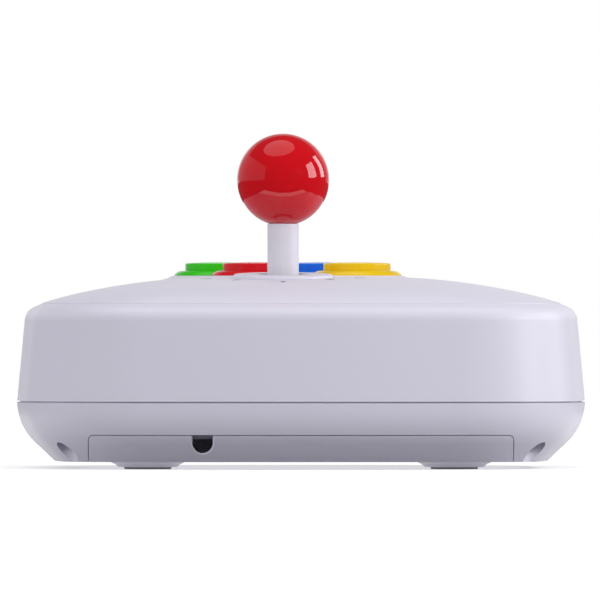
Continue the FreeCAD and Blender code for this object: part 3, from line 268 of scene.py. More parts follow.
def rubber_finish(name, colour):
    """Dull rubber, mottled and finely pitted."""
    material, sketch = new_finish(name)
    where = sketch.place()
    cloud = sketch.noise(where, size=0.006, detail=3.0)
    grain = sketch.noise(where, size=0.00025, detail=2.0)
    sketch.principled(
        Base_Color=sketch.tones(cloud, colour, 0.8, 1.25),
        Roughness=cloud.swing(0.2) + 0.78,
        Normal=sketch.bump(grain, strength=0.6, depth=0.00005),
        IOR=1.45)
    return material


def metal_finish(name, colour, roughness, grain):
    """Turned or drawn metal: the grain is a noise stretched along the work's direction."""
    material, sketch = new_finish(name)
    where = sketch.place()
    lines = sketch.noise(where, size=0.0006, detail=3.0, stretch=grain)
    stain = sketch.noise(where, size=0.008, detail=2.0)
    sketch.principled(
        Base_Color=sketch.tones(lines, colour, 0.88, 1.06),
        Metallic=1.0,
        Roughness=lines.swing(0.25) + stain.swing(0.1) + roughness,
        Normal=sketch.bump(lines, strength=0.3, depth=0.00002))
    return material


def board_finish(name, mask_colour, copper_colour):
    """Circuit board: solder mask over fine tracks, with bare pads here and there."""
    material, sketch = new_finish(name)
    where = sketch.place()
    cells = {"voronoi_dimensions": "3D", "feature": "DISTANCE_TO_EDGE"}
    edge = sketch.add("ShaderNodeTexVoronoi", cells, {"Vector": where, "Scale": 150.0})
    spots = {"feature": "F1"}
    dots = sketch.add("ShaderNodeTexVoronoi", spots, {"Vector": where, "Scale": 180.0})
    track = edge < 0.06
    pad = dots < 0.16
    fibre = sketch.noise(where, size=0.0008, detail=2.0)
    mask = sketch.tones(fibre, mask_colour, 0.85, 1.1)
    tracked = sketch.mix(track, mask, rgba(mask_colour, 1.8))
    sketch.principled(
        Base_Color=sketch.mix(pad, tracked, rgba(copper_colour)),
        Metallic=pad * 0.9,
        Roughness=0.42 - pad * 0.1,
        Normal=sketch.bump(track, strength=0.3, depth=0.00004))
    return material


def ribbon_finish(name, colour):
    """Flat cable: rounded conductors side by side under one grey jacket, with painted shade in
    the grooves between them.
    """
    material, sketch = new_finish(name)
    bands = {"wave_type": "BANDS", "bands_direction": "Y", "wave_profile": "SIN"}
    sockets = {"Vector": sketch.place(), "Scale": 160.0}
    ridges_and_groove_shade = sketch.add("ShaderNodeTexWave", bands, sockets, "Fac")
    sketch.principled(
        # Base colour darker in the grooves between the ridges: painted shade
        Base_Color=sketch.tones(ridges_and_groove_shade, colour, 0.55, 1.1),
        Roughness=0.5 - ridges_and_groove_shade * 0.1,
        Normal=sketch.bump(ridges_and_groove_shade, strength=0.7, depth=0.0002))
    return material


def ink_finish(name, colour):
    """Pad-printed ink, finely speckled in tone and sheen."""
    material, sketch = new_finish(name)
    speck = sketch.noise(sketch.place(), size=0.0004, detail=3.0)
    sketch.principled(
        Base_Color=sketch.tones(speck, colour, 0.8, 1.25),
        Roughness=0.5 + speck * 0.2)
    return material


def put_finish(material, *names):
    """Give CAD nodes a material."""
    for name in names:
        for slot in frame["nodes"][name].material_slots:
            slot.material = material


# Mesh helpers
def mesh_of(name, build):
    mesh = bpy.data.meshes.new(name)
    build.to_mesh(mesh)
    build.free()
    return mesh


def put_in_scene(name, data):
    """Object at the origin that holds a mesh, a lamp or a camera."""
    thing = bpy.data.objects.new(name, data)
    bpy.context.scene.collection.objects.link(thing)
    return thing


def new_piece(name, mesh):
    mesh.shade_smooth()
    mesh.set_sharp_from_angle(angle=SMOOTH_ANGLE)
    return put_in_scene(name, mesh)


def lathe(name, profile, sides, at):
    """Turn a half section of (radius, height) points about the upright line at a place."""
    build = bmesh.new()
    points = [build.verts.new((radius, 0, z)) for radius, z in profile]
    edges = [build.edges.new(pair) for pair in zip(points, points[1:])]
    bmesh.ops.spin(
        build, geom=points + edges, cent=(0, 0, 0), axis=UP, angle=2 * math.pi,
        steps=sides, use_merge=True)
    bmesh.ops.remove_doubles(build, verts=build.verts, dist=MERGE_DISTANCE)
    bmesh.ops.recalc_face_normals(build, faces=build.faces)
    bmesh.ops.translate(build, verts=build.verts, vec=at)
    return new_piece(name, mesh_of(name, build))


def new_growth(name, inputs):
    """Geometry node tree with named inputs: its sketch, input wires and sockets' identifiers."""
    tree = bpy.data.node_groups.new(name, "GeometryNodeTree")
    for way in ("OUTPUT", "INPUT"):
        tree.interface.new_socket("Geometry", in_out=way, socket_type="NodeSocketGeometry")
    identifiers = {}
    for label, kind in inputs.items():
        socket = tree.interface.new_socket(label, in_out="INPUT", socket_type=kind)
        identifiers[label] = socket.identifier
    sketch = Sketch(tree)
    entry = sketch.add("NodeGroupInput")
    return sketch, {label: entry.out(label) for label in inputs}, identifiers


def end_growth(sketch, geometry, material):
    """Realize the instances, set the material and hand the geometry out."""
    real = sketch.add("GeometryNodeRealizeInstances", {}, {"Geometry": geometry})
    sockets = {"Geometry": real, "Material": material}
    dressed = sketch.add("GeometryNodeSetMaterial", {}, sockets)
    sketch.add("NodeGroupOutput", {}, {"Geometry": dressed})


def moved(sketch, geometry, **sockets):
    """Geometry after a Transform."""
    return sketch.add("GeometryNodeTransform", {}, {"Geometry": geometry, **sockets})


def grow(name, sketch, identifiers, values):
    """Run a tree on an empty piece and keep its result as a plain mesh."""
    seed = put_in_scene(name, bpy.data.meshes.new(name))
    modifier = seed.modifiers.new("Growth", "NODES")
    modifier.node_group = sketch.tree
    for label, value in values.items():
        modifier[identifiers[label]] = value
    evaluated = seed.evaluated_get(bpy.context.evaluated_depsgraph_get())
    mesh = bpy.data.meshes.new_from_object(evaluated)
    bpy.data.objects.remove(seed)
    mesh.name = name
    return new_piece(name, mesh)


def mark_tree():
    """Ring of small pointers, each a thin three-sided plate laid on the panel."""
    floats = ("Ring radius", "Inner share", "Length", "Width", "Thickness")
    inputs = {label: "NodeSocketFloat" for label in floats}
    inputs.update({
        "Panel": "NodeSocketObject", "Count": "NodeSocketInt", "Middle": "NodeSocketVector",
        "Ink": "NodeSocketMaterial",
    })
    sketch, wires, identifiers = new_growth("Direction marks", inputs)

    # A triangle of radius 1 is 1.5 long and root 3 wide
    sockets = {"Vertices": 3, "Radius": 1.0, "Depth": wires["Thickness"]}
    plate = sketch.add("GeometryNodeMeshCylinder", {}, sockets)
    sockets = {0: wires["Length"] / 1.5, 1: wires["Width"] / math.sqrt(3), 2: 1.0}
    plate = moved(sketch, plate, Scale=sketch.add("ShaderNodeCombineXYZ", {}, sockets))

    # Every second point of the ring is drawn in
    sockets = {"Vertices": wires["Count"], "Radius": wires["Ring radius"]}
    circle = sketch.add("GeometryNodeMeshCircle", {}, sockets)
    outward = sketch.add("GeometryNodeInputPosition")
    odd = sketch.add("GeometryNodeInputIndex") % 2.0
    share = 1.0 - odd * (1.0 - wires["Inner share"])
    sockets = {"Vector": outward, "Scale": share}
    drawn_in = sketch.add("ShaderNodeVectorMath", {"operation": "SCALE"}, sockets)
    sockets = {"Geometry": circle, "Position": drawn_in}
    circle = sketch.add("GeometryNodeSetPosition", {}, sockets)
    turn = sketch.add("FunctionNodeAlignRotationToVector", {"axis": "X"}, {"Vector": outward})
    sockets = {"Points": circle, "Instance": plate, "Rotation": turn}
    ring = sketch.add("GeometryNodeInstanceOnPoints", {}, sockets)
    ring = sketch.add("GeometryNodeRealizeInstances", {}, {"Geometry": ring})
    ring = moved(sketch, ring, Translation=wires["Middle"])

    # Each corner drops on the panel and keeps its own height above it
    sockets = {"Object": wires["Panel"]}
    panel = sketch.add("GeometryNodeObjectInfo", {}, sockets, "Geometry")
    here = sketch.add("GeometryNodeInputPosition")
    sockets = {
        "Target Geometry": panel, "Source Position": sketch.vector("ADD", here, UP),
        "Ray Direction": DOWN, "Ray Length": 2.0,
    }
    hit = sketch.add("GeometryNodeRaycast", {}, sockets, "Hit Position")
    own = sketch.add("ShaderNodeSeparateXYZ", {}, {"Vector": here}, "Z")
    rise = sketch.add("ShaderNodeCombineXYZ", {}, {2: own})
    sockets = {"Geometry": ring, "Position": sketch.vector("ADD", hit, rise)}
    end_growth(sketch, sketch.add("GeometryNodeSetPosition", {}, sockets), wires["Ink"])
    return sketch, identifiers


def screw_tree():
    """Pan head screws, head down, with a cross recess, at the four corners of an oblong."""
    floats = (
        "Head radius", "Head height", "Head edge", "Shank radius", "Shank length",
        "Recess width", "Recess length", "Recess depth", "Span X", "Span Y",
    )
    inputs = {label: "NodeSocketFloat" for label in floats}
    inputs.update({"Middle": "NodeSocketVector", "Steel": "NodeSocketMaterial"})
    sketch, wires, identifiers = new_growth("Cross recess screws", inputs)

    # Head, shank and tapered tip: the rise of each step and the spread of its end
    start = wires["Head radius"] - wires["Head edge"]
    sockets = {"Vertices": SCREW_SIDES, "Radius": start}
    shape = sketch.add("GeometryNodeMeshCircle", {"fill_type": "NGON"}, sockets)
    steps = (
        (wires["Head edge"], wires["Head radius"] / start),
        (wires["Head height"] - wires["Head edge"], 1.0),
        (0.0, wires["Shank radius"] / wires["Head radius"]),
        (wires["Shank length"] - wires["Shank radius"], 1.0),
        (wires["Shank radius"], 0.1),
    )
    chosen = None
    for rise, spread in steps:
        sockets = {"Mesh": shape, "Offset": UP, "Offset Scale": rise, "Individual": False}
        if chosen:
            sockets["Selection"] = chosen
        shape = sketch.add("GeometryNodeExtrudeMesh", {"mode": "FACES"}, sockets)
        chosen = shape.out("Top")
        sockets = {"Geometry": shape, "Selection": chosen, "Scale": spread}
        shape = sketch.add("GeometryNodeScaleElements", {"domain": "FACE"}, sockets)

    # Two crossed bars, half of them in the head, are cut out
    long, wide, deep = wires["Recess length"], wires["Recess width"], wires["Recess depth"] * 2
    sockets = {"Mesh 1": shape}
    cut = sketch.add("GeometryNodeMeshBoolean", {"operation": "DIFFERENCE"}, sockets)
    for along, across in ((long, wide), (wide, long)):
        size = sketch.add("ShaderNodeCombineXYZ", {}, {0: along, 1: across, 2: deep})
        bar = sketch.add("GeometryNodeMeshCube", {}, {"Size": size})
        sketch.tree.links.new(bar.socket, cut.node.inputs["Mesh 2"])

    sockets = {"Size X": wires["Span X"], "Size Y": wires["Span Y"]}
    sockets.update({"Vertices X": 2, "Vertices Y": 2})
    corners = sketch.add("GeometryNodeMeshGrid", {}, sockets)
    corners = moved(sketch, corners, Translation=wires["Middle"])
    sockets = {"Points": corners, "Instance": cut}
    end_growth(sketch, sketch.add("GeometryNodeInstanceOnPoints", {}, sockets), wires["Steel"])
    return sketch, identifiers


def coil_tree():
    """Coil spring: round wire carried along a helix, with closed ends."""
    floats = ("Coil radius", "Wire radius", "Turns", "Height")
    inputs = {label: "NodeSocketFloat" for label in floats}
    inputs.update({"Foot": "NodeSocketVector", "Steel": "NodeSocketMaterial"})
    sketch, wires, identifiers = new_growth("Coil spring", inputs)
    helix = sketch.add("GeometryNodeCurveSpiral", {}, {
        "Resolution": COIL_STEPS, "Rotations": wires["Turns"], "Height": wires["Height"],
        "Start Radius": wires["Coil radius"], "End Radius": wires["Coil radius"],
    })
    sockets = {"Resolution": WIRE_SIDES, "Radius": wires["Wire radius"]}
    section = sketch.add("GeometryNodeCurvePrimitiveCircle", {}, sockets)
    sockets = {"Curve": helix, "Profile Curve": section, "Fill Caps": True}
    coil = sketch.add("GeometryNodeCurveToMesh", {}, sockets)
    end_growth(sketch, moved(sketch, coil, Translation=wires["Foot"]), wires["Steel"])
    return sketch, identifiers


# Sizes and colours that a user would change
class CaseProps(bpy.types.PropertyGroup):
    """Case and trim plastics."""

    shell: FloatVectorProperty(
        name="Case colour", description="Cool white of the shells, the door and the collar",
        subtype="COLOR", min=0.0, max=1.0, default=(0.775, 0.755, 0.865))
    trim: FloatVectorProperty(
        name="Trim colour", description="White of the sleeve and small buttons",
        subtype="COLOR", min=0.0, max=1.0, default=(0.80, 0.79, 0.86))
    grain_size: FloatProperty(
        name="Grain size", description="Spacing of the etched grain",
        default=0.0005, unit="LENGTH", precision=5)
    grain_depth: FloatProperty(
        name="Grain depth", description="Depth of the etched grain",
        default=0.00003, unit="LENGTH", precision=6)


class StickProps(bpy.types.PropertyGroup):
    """Ball and spring."""

    ball: FloatVectorProperty(
        name="Ball colour", description="Polished red of the ball",
        subtype="COLOR", min=0.0, max=1.0, default=(0.68, 0.004, 0.010))
    turns: FloatProperty(
        name="Spring turns", description="Turns of the centering spring", default=4.0)
    wire: FloatProperty(
        name="Spring wire", description="Radius of the spring's wire",
        default=0.0007, unit="LENGTH", precision=5)
    spring_room: FloatProperty(
        name="Spring room", description="Room over the spring for its tilt",
        default=0.0012, unit="LENGTH", precision=4)


class ButtonProps(bpy.types.PropertyGroup):
    """Push button colours."""

    red: FloatVectorProperty(
        name="Red", description="Red button",
        subtype="COLOR", min=0.0, max=1.0, default=(0.70, 0.005, 0.013))
    yellow: FloatVectorProperty(
        name="Yellow", description="Yellow button",
        subtype="COLOR", min=0.0, max=1.0, default=(0.90, 0.60, 0.005))
    blue: FloatVectorProperty(
        name="Blue", description="Blue button",
        subtype="COLOR", min=0.0, max=1.0, default=(0.006, 0.145, 0.77))
    green: FloatVectorProperty(
        name="Green", description="Green button",
        subtype="COLOR", min=0.0, max=1.0, default=(0.040, 0.60, 0.008))


class MarkProps(bpy.types.PropertyGroup):
    """Printed direction marks round the stick."""

    count: IntProperty(name="Count", description="Number of pointers", default=8, min=3)
    ring_radius: FloatProperty(
        name="Ring radius", description="Distance of the pointers from the stick",
        default=0.0285, unit="LENGTH")
    inner_share: FloatProperty(
        name="Inner share", description="Share of the radius at which every second pointer lies",
        default=0.885)
    length: FloatProperty(
        name="Length", description="Radial length",
        default=0.0040, unit="LENGTH", precision=4)
    width: FloatProperty(
        name="Width", description="Width across",
        default=0.0024, unit="LENGTH", precision=4)
    thickness: FloatProperty(
        name="Thickness", description="Depth of the print, half of it proud",
        default=0.00012, unit="LENGTH", precision=6)
    ink: FloatVectorProperty(
        name="Ink", description="Grey of the print",
        subtype="COLOR", min=0.0, max=1.0, default=(0.17, 0.17, 0.19))


class ScrewProps(bpy.types.PropertyGroup):
    """Pan head screws."""

    head_radius: FloatProperty(
        name="Head radius", description="Radius of the head",
        default=0.0029, unit="LENGTH", precision=4)
    head_height: FloatProperty(
        name="Head height", description="Height of the head",
        default=0.0022, unit="LENGTH", precision=4)
    shank_radius: FloatProperty(
        name="Shank radius", description="Radius of the shank",
        default=0.0015, unit="LENGTH", precision=4)
    recess_width: FloatProperty(
        name="Recess width", description="Width of the cross's arms",
        default=0.0008, unit="LENGTH", precision=4)
    recess_depth: FloatProperty(
        name="Recess depth", description="Depth of the cross",
        default=0.0012, unit="LENGTH", precision=4)


class FootProps(bpy.types.PropertyGroup):
    """Rubber pads."""

    rings: IntProperty(
        name="Grip rings", description="Grooves turned in the underside", default=3, min=0)
    groove: FloatProperty(
        name="Groove", description="Depth and half width of a groove",
        default=0.0003, unit="LENGTH", precision=5)
    edge: FloatProperty(
        name="Edge", description="Radius of the lower edge",
        default=0.0005, unit="LENGTH", precision=5)
    rubber: FloatVectorProperty(
        name="Rubber", description="Grey of the pads",
        subtype="COLOR", min=0.0, max=1.0, default=(0.32, 0.32, 0.34))


class StageProps(bpy.types.PropertyGroup):
    """Camera and lamps."""

    view_distance: FloatProperty(
        name="View distance", description="Camera to the object's middle",
        default=10.2, unit="LENGTH")
    view_width: FloatProperty(
        name="View width", description="Width that the picture covers",
        default=0.2291, unit="LENGTH", precision=4)
    view_height: FloatProperty(
        name="View height", description="Height of the camera",
        default=0.0640, unit="LENGTH", precision=4)
    view_shift: FloatProperty(
        name="View shift", description="Camera's step to the left",
        default=0.0004, unit="LENGTH", precision=5)
    ambient: FloatProperty(
        name="Ambient", description="Strength of the room's even light", default=0.40)
    window: FloatProperty(
        name="Window", description="Power of the lamp on the right", default=8.0, unit="POWER")
    overhead: FloatProperty(
        name="Overhead", description="Power of the round lamp above", default=4.2, unit="POWER")
    fill: FloatProperty(
        name="Fill", description="Power of the lamp on the left", default=7.0, unit="POWER")
    low_left: FloatProperty(
        name="Low left", description="Power of the low lamp on the left",
        default=2.8, unit="POWER")
    low_right: FloatProperty(
        name="Low right", description="Power of the low lamp on the right",
        default=3.2, unit="POWER")
    table: FloatProperty(
        name="Lit table", description="Power of the lit table under the case",
        default=0.03, unit="POWER")


class ArcadeStickProps(bpy.types.PropertyGroup):
    """All settings of the arcade stick."""

    case: PointerProperty(type=CaseProps)
    stick: PointerProperty(type=StickProps)
    buttons: PointerProperty(type=ButtonProps)
    marks: PointerProperty(type=MarkProps)
    screws: PointerProperty(type=ScrewProps)
    feet: PointerProperty(type=FootProps)
    stage: PointerProperty(type=StageProps)


# Operators
class CaseOperator(bpy.types.Operator):
    """Give the two shells, the compartment door and the stick's collar their moulded white"""

    bl_idname = "arcade_stick.case"
    bl_label = "Case"

    def execute(self, context):
        props = context.scene.arcade_stick.case
        plastic = moulded_finish(
            "Moulded white", props.shell, roughness=0.42, grain_size=props.grain_size,
            grain_depth=props.grain_depth, tone=0.012)
        put_finish(plastic, "top_shell", "bottom_shell", "compartment_door", "stick_collar")
        return {"FINISHED"}


class TrimOperator(bpy.types.Operator):
    """Give the sleeve and the small buttons their satin white"""

    bl_idname = "arcade_stick.trim"
    bl_label = "White trim"

    def execute(self, context):
        props = context.scene.arcade_stick.case
        trim = moulded_finish(
            "Trim plastic", props.trim, roughness=0.34, grain_size=props.grain_size,
            grain_depth=props.grain_depth / 2, tone=0.008)
        put_finish(trim, "shaft_sleeve", "start_button", "select_button")
        return {"FINISHED"}


class BallOperator(bpy.types.Operator):
    """Polish the ball on top of the stick"""

    bl_idname = "arcade_stick.ball"
    bl_label = "Ball"

    def execute(self, context):
        props = context.scene.arcade_stick.stick
        put_finish(gloss_finish("Ball gloss", props.ball, roughness=0.05), "ball_top")
        return {"FINISHED"}


class ButtonsOperator(bpy.types.Operator):
    """Colour the rims and caps of the four push buttons"""

    bl_idname = "arcade_stick.buttons"
    bl_label = "Push buttons"

    def execute(self, context):
        props = context.scene.arcade_stick.buttons
        for colour in BUTTON_COLOURS:
            gloss = gloss_finish(f"Button {colour}", getattr(props, colour), roughness=0.20)
            put_finish(gloss, f"{colour}_bezel", f"{colour}_cap")
        return {"FINISHED"}


class MarksOperator(bpy.types.Operator):
    """Print the ring of direction marks on the panel round the stick"""

    bl_idname = "arcade_stick.marks"
    bl_label = "Direction marks"

    def execute(self, context):
        props = context.scene.arcade_stick.marks
        sketch, identifiers = mark_tree()
        piece = grow("direction_marks", sketch, identifiers, {
            "Panel": frame["nodes"]["top_shell"],
            "Count": props.count,
            "Ring radius": props.ring_radius,
            "Inner share": props.inner_share,
            "Length": props.length,
            "Width": props.width,
            "Thickness": props.thickness,
            "Middle": (STICK_MIDDLE.x, STICK_MIDDLE.y, 0.0),
            "Ink": ink_finish("Grey ink", props.ink),
        })
        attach(piece, BODY_OF["top_shell"])
        return {"FINISHED"}


class ScrewsOperator(bpy.types.Operator):
    """Make the four sets of screws with their cross recesses"""

    bl_idname = "arcade_stick.screws"
    bl_label = "Screws"

    def execute(self, context):
        props = context.scene.arcade_stick.screws
        steel = metal_finish(
            "Screw steel", (0.62, 0.62, 0.64), roughness=0.32, grain=(1.0, 1.0, 0.1))
        sketch, identifiers = screw_tree()
        for node in SCREW_NODES:
            low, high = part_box(node)
            piece = grow(f"{node}_finished", sketch, identifiers, {
                "Head radius": props.head_radius,
                "Head height": props.head_height,
                "Head edge": props.head_height / 3,
                "Shank radius": props.shank_radius,
                "Shank length": high.z - low.z - props.head_height,
                "Recess width": props.recess_width,
                "Recess length": props.head_radius * 1.2,
                "Recess depth": props.recess_depth,
                "Span X": high.x - low.x - 2 * props.head_radius,
                "Span Y": high.y - low.y - 2 * props.head_radius,
                "Middle": tuple(base_of(low, high)),
                "Steel": steel,
            })
            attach(piece, BODY_OF[node])
            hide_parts(node)
        return {"FINISHED"}


class FeetOperator(bpy.types.Operator):
    """Turn the rubber foot pads with their grip rings"""

    bl_idname = "arcade_stick.feet"
    bl_label = "Foot pads"

    def execute(self, context):
        props = context.scene.arcade_stick.feet
        rubber = rubber_finish("Foot rubber", props.rubber)
        for node in FOOT_NODES:
            low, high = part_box(node)
            section = self.section(props, (high.x - low.x) / 2, high.z - low.z)
            piece = lathe(f"{node}_finished", section, FOOT_SIDES, base_of(low, high))
            piece.data.materials.append(rubber)
            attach(piece, BODY_OF[node])
            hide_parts(node)
        return {"FINISHED"}

    @staticmethod
    def section(props, radius, height):
        """Half section from the middle of the underside, over grooves and edge, to the top."""
        edge = props.edge
        depth = props.groove
        points = [(0.0, 0.0)]
        for ring in range(props.rings):
            at = (radius - edge) * (ring + 1) / (props.rings + 1)
            points += [
                (at - 2 * depth, 0.0), (at - depth, depth),
                (at + depth, depth), (at + 2 * depth, 0.0),
            ]
        for step in range(FOOT_EDGE_STEPS + 1):
            angle = math.pi / 2 * step / FOOT_EDGE_STEPS
            points.append(
                (radius - edge + edge * math.sin(angle), edge - edge * math.cos(angle)))
        return points + [(radius, height), (0.0, height)]


class SpringOperator(bpy.types.Operator):
    """Wind the centering spring"""

    bl_idname = "arcade_stick.spring"
    bl_label = "Centering spring"

    def execute(self, context):
        props = context.scene.arcade_stick.stick
        node = "centering_spring"
        low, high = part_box(node)
        steel = metal_finish(
            "Spring steel", (0.50, 0.50, 0.52), roughness=0.28, grain=(1.0, 1.0, 1.0))
        sketch, identifiers = coil_tree()
        foot = base_of(low, high)
        piece = grow(f"{node}_finished", sketch, identifiers, {
            "Coil radius": (high.x - low.x) / 2 - props.wire,
            "Wire radius": props.wire,
            "Turns": props.turns,
            "Height": high.z - low.z - 2 * props.wire - props.spring_room,
            "Foot": (foot.x, foot.y, low.z + props.wire),
            "Steel": steel,
        })
        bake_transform(piece)
        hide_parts(node)
        put_finish(steel, "retaining_clip")
        return {"FINISHED"}


class MechanismOperator(bpy.types.Operator):
    """Finish the lever's working parts and the switches"""

    bl_idname = "arcade_stick.mechanism"
    bl_label = "Mechanism"

    def execute(self, context):
        turned_steel = metal_finish(
            "Turned steel", (0.66, 0.66, 0.68), roughness=0.22, grain=(1.0, 1.0, 0.15))
        nylon = moulded_finish(
            "Natural nylon", (0.78, 0.75, 0.66), roughness=0.38,
            grain_size=0.0006, grain_depth=0.00002, tone=0.03)
        housing = moulded_finish(
            "Housing black", (0.022, 0.022, 0.025), roughness=0.48,
            grain_size=0.0005, grain_depth=0.00003, tone=0.15)
        switch = moulded_finish(
            "Switch black", (0.016, 0.016, 0.018), roughness=0.36,
            grain_size=0.0004, grain_depth=0.00002, tone=0.15)
        plunger = moulded_finish(
            "Plunger red", (0.55, 0.03, 0.03), roughness=0.3,
            grain_size=0.0004, grain_depth=0.00001, tone=0.05)
        put_finish(turned_steel, "lever_shaft", "cross_pin", "trunnion_pins")
        put_finish(nylon, "pivot_bead", "gimbal_ring", "actuator")
        put_finish(housing, "lever_housing", "restrictor_gate")
        put_finish(switch, *(name for name in frame["nodes"] if "switch" in name))
        put_finish(plunger, *(name for name in frame["nodes"] if "plunger" in name))
        return {"FINISHED"}


class WiringOperator(bpy.types.Operator):
    """Finish the boards, the ribbon, the lead and the cable inlet"""

    bl_idname = "arcade_stick.wiring"
    bl_label = "Boards and wiring"

    def execute(self, context):
        board = board_finish(
            "Board green", mask_colour=(0.012, 0.10, 0.035), copper_colour=(0.72, 0.55, 0.26))
        inlet = metal_finish(
            "Stamped inlet", (0.60, 0.59, 0.57), roughness=0.3, grain=(0.1, 1.0, 1.0))
        put_finish(board, "main_board", "lever_board")
        put_finish(ribbon_finish("Ribbon grey", (0.42, 0.43, 0.46)), "lever_ribbon")
        put_finish(rubber_finish("Lead jacket", (0.02, 0.02, 0.022)), "inlet_lead")
        put_finish(inlet, "cable_inlet")
        return {"FINISHED"}


class StageOperator(bpy.types.Operator):
    """Set the floor, the lamps, the reflection cards and the camera"""

    bl_idname = "arcade_stick.stage"
    bl_label = "Studio stage"

    def execute(self, context):
        props = context.scene.arcade_stick.stage
        scene = context.scene
        scene.view_settings.view_transform = "Standard"
        self.make_world(scene, props.ambient)
        self.make_floor()
        self.make_cards()
        above = (STICK_MIDDLE.x, 0.17, 1.35)
        self.make_lamp("Overhead lamp", (1.3, 1.3), above, props.overhead, shape="DISK")
        for name, size, place, target, power in (
            ("Window", (1.6, 1.0), (0.07, -2.0, 0.72), LAMP_TARGET, props.window),
            ("Left fill", (1.8, 1.8), (-1.5, 2.2, 0.9), LAMP_TARGET, props.fill),
            ("Low left", (0.5, 0.2), (-0.65, 1.0, 0.34), LAMP_TARGET, props.low_left),
            ("Low right", (0.5, 0.2), (-0.55, -0.66, 0.36), LAMP_TARGET, props.low_right),
            ("Lit table", (0.224, 0.17), (0.0, 0.0, 0.0003), UP, props.table),
        ):
            self.make_lamp(name, size, place, power, target).visible_glossy = False
        self.make_camera(scene, props)
        return {"FINISHED"}

    @staticmethod
    def seen_directly(sketch):
        """One for what shows straight, mirrored or through clear matter, or else nought."""
        path = sketch.add("ShaderNodeLightPath")
        seen = path.out("Is Camera Ray") + path.out("Is Glossy Ray")
        return seen + path.out("Is Transmission Ray") > 0.5

    def make_world(self, scene, ambient):
        """Even room light, seen as white."""
        world = bpy.data.worlds.new("Studio room")
        scene.world = world
        world.use_nodes = True
        world.node_tree.nodes.clear()
        sketch = Sketch(world.node_tree)
        white, soft = (
            sketch.add("ShaderNodeBackground", {}, {"Color": colour, "Strength": strength})
            for colour, strength in ((WHITE, 1.0), (ROOM_TINT, ambient))
        )
        both = sketch.mix_shaders(self.seen_directly(sketch), soft, white)
        sketch.surface(both, "ShaderNodeOutputWorld")

    def make_floor(self):
        """Pale floor that shows near white and throws little light up.

        It glows less near the object, so that the shadow shows there, but not in reflections.
        """
        material, sketch = new_finish("Floor")
        settings = {"operation": "LENGTH"}
        distance = sketch.add("ShaderNodeVectorMath", settings, {0: sketch.place()}, "Value")
        mirrored = sketch.add("ShaderNodeLightPath", output="Is Glossy Ray")
        away = (distance - GLOW_FADE_START) / GLOW_FADE_LENGTH + mirrored
        glow = sketch.mix_shaders(
            away, sketch.emission(WHITE, NEAR_GLOW), sketch.emission(WHITE, FAR_GLOW))
        pale = sketch.add("ShaderNodeBsdfDiffuse", {}, {"Color": FLOOR_PALE})
        bright = sketch.add("ShaderNodeAddShader", {}, {0: pale, 1: glow})
        quiet = sketch.add("ShaderNodeBsdfDiffuse", {}, {"Color": FLOOR_QUIET})
        sketch.surface(sketch.mix_shaders(self.seen_directly(sketch), quiet, bright))
        build = bmesh.new()
        bmesh.ops.create_circle(
            build, cap_ends=True, radius=FLOOR_RADIUS, segments=FLOOR_SIDES)
        floor = put_in_scene("floor", mesh_of("floor", build))
        floor.data.materials.append(material)

    def make_cards(self):
        """Dark room, grey at the left and rear and open at the back, with two bright panes.

        It is seen only in reflections, and its floor leaves the ground round the object free.
        """
        front, rear, back, side, top, low = -3.0, 3.0, 6.0, 3.2, 2.4, 0.002
        free_front, free_side, pane_side = -0.25, 0.2, -2.0
        sheets = (
            ("Dark card", (front, -side, low), (free_front, side, low)),
            ("Dark card", (free_front, -side, low), (rear, -free_side, low)),
            ("Dark card", (free_front, free_side, low), (rear, side, low)),
            ("Dark card", (front, -side, low), (front, side, top)),
            ("Dark card", (front, -side, top), (rear, side, top)),
            ("Dark card", (front, -side, low), (rear, -side, top)),
            ("Grey card", (front, side, low), (back, side, top)),
            ("Grey card", (rear, -side, low), (back, -side, top)),
            ("Grey card", (rear, -side, top), (back, side, top)),
            ("Bright card", (-0.90, pane_side, 0.25), (0.0, pane_side, 1.40)),
            ("Bright card", (0.65, pane_side, 0.25), (1.35, pane_side, 1.65)),
        )
        build = bmesh.new()
        for name, corner, opposite in sheets:
            corners = self.sheet_corners(corner, opposite)
            sheet = build.faces.new([build.verts.new(place) for place in corners])
            sheet.material_index = list(CARD_STRENGTHS).index(name)
        cards = put_in_scene("reflection_cards", mesh_of("reflection_cards", build))
        for name, strength in CARD_STRENGTHS.items():
            material, sketch = new_finish(name)
            sketch.surface(sketch.emission(CARD_TINT, strength))
            cards.data.materials.append(material)
        for ray in ("camera", "diffuse", "transmission", "volume_scatter", "shadow"):
            setattr(cards, f"visible_{ray}", False)

    @staticmethod
    def sheet_corners(corner, opposite):
        """Four corners in turn of a level or upright sheet, from two opposite ones."""
        (x0, y0, z0), (x1, y1, z1) = corner, opposite
        if z0 == z1:
            return (x0, y0, z0), (x1, y0, z0), (x1, y1, z0), (x0, y1, z0)
        return (x0, y0, z0), (x1, y1, z0), (x1, y1, z1), (x0, y0, z1)

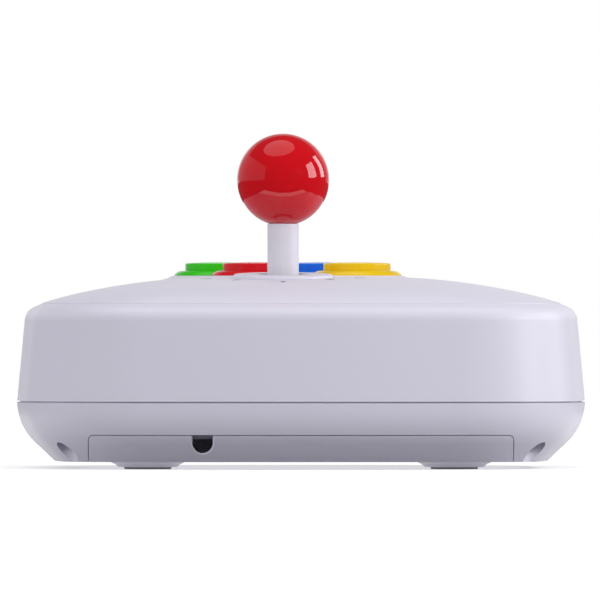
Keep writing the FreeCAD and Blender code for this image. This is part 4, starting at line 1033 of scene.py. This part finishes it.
    @staticmethod
    def make_lamp(name, size, at, power, target=LAMP_TARGET, shape="RECTANGLE"):
        light = bpy.data.lights.new(name, "AREA")
        light.shape = shape
        light.size = size[0]
        if shape == "RECTANGLE":
            light.size_y = size[1]
        light.energy = power
        lamp = put_in_scene(name, light)
        lamp.location = at
        aim = Vector(target) - lamp.location
        lamp.rotation_euler = aim.to_track_quat("-Z", "Y").to_euler()
        return lamp

    @staticmethod
    def make_camera(scene, props):
        """Camera on the left end's side, level with the object."""
        camera = bpy.data.cameras.new("Camera")
        camera.sensor_width = SENSOR_WIDTH
        camera.lens = camera.sensor_width * props.view_distance / props.view_width
        camera.clip_end = 4 * props.view_distance
        holder = put_in_scene("Camera", camera)
        holder.location = (-props.view_distance, props.view_shift, props.view_height)
        holder.rotation_euler = (math.pi / 2, 0.0, -math.pi / 2)
        scene.camera = holder


OPERATORS = (
    CaseOperator, TrimOperator, BallOperator, ButtonsOperator, MarksOperator, ScrewsOperator,
    FeetOperator, SpringOperator, MechanismOperator, WiringOperator, StageOperator,
)


class ArcadeStickPanel(bpy.types.Panel):
    """Lists the arcade stick's settings and steps"""

    bl_idname = "VIEW3D_PT_arcade_stick"
    bl_label = "Arcade Stick"
    bl_space_type = "VIEW_3D"
    bl_region_type = "UI"
    bl_category = "Arcade Stick"

    def draw(self, context):
        props = context.scene.arcade_stick
        for group in ArcadeStickProps.__annotations__:
            box = self.layout.box()
            settings = getattr(props, group)
            for name in settings.__annotations__:
                box.prop(settings, name)
        for operator in OPERATORS:
            self.layout.operator(operator.bl_idname)


PROPERTY_GROUPS = (
    CaseProps, StickProps, ButtonProps, MarkProps, ScrewProps, FootProps, StageProps,
    ArcadeStickProps,
)
CLASSES = PROPERTY_GROUPS + OPERATORS + (ArcadeStickPanel,)


def register():
    for cls in CLASSES:
        bpy.utils.register_class(cls)
    bpy.types.Scene.arcade_stick = PointerProperty(type=ArcadeStickProps)


def unregister():
    del bpy.types.Scene.arcade_stick
    for cls in reversed(CLASSES):
        bpy.utils.unregister_class(cls)


def main():
    register()
    for operator in OPERATORS:
        family, name = operator.bl_idname.split(".")
        getattr(getattr(bpy.ops, family), name)()


if __name__ == "__main__":
    main()
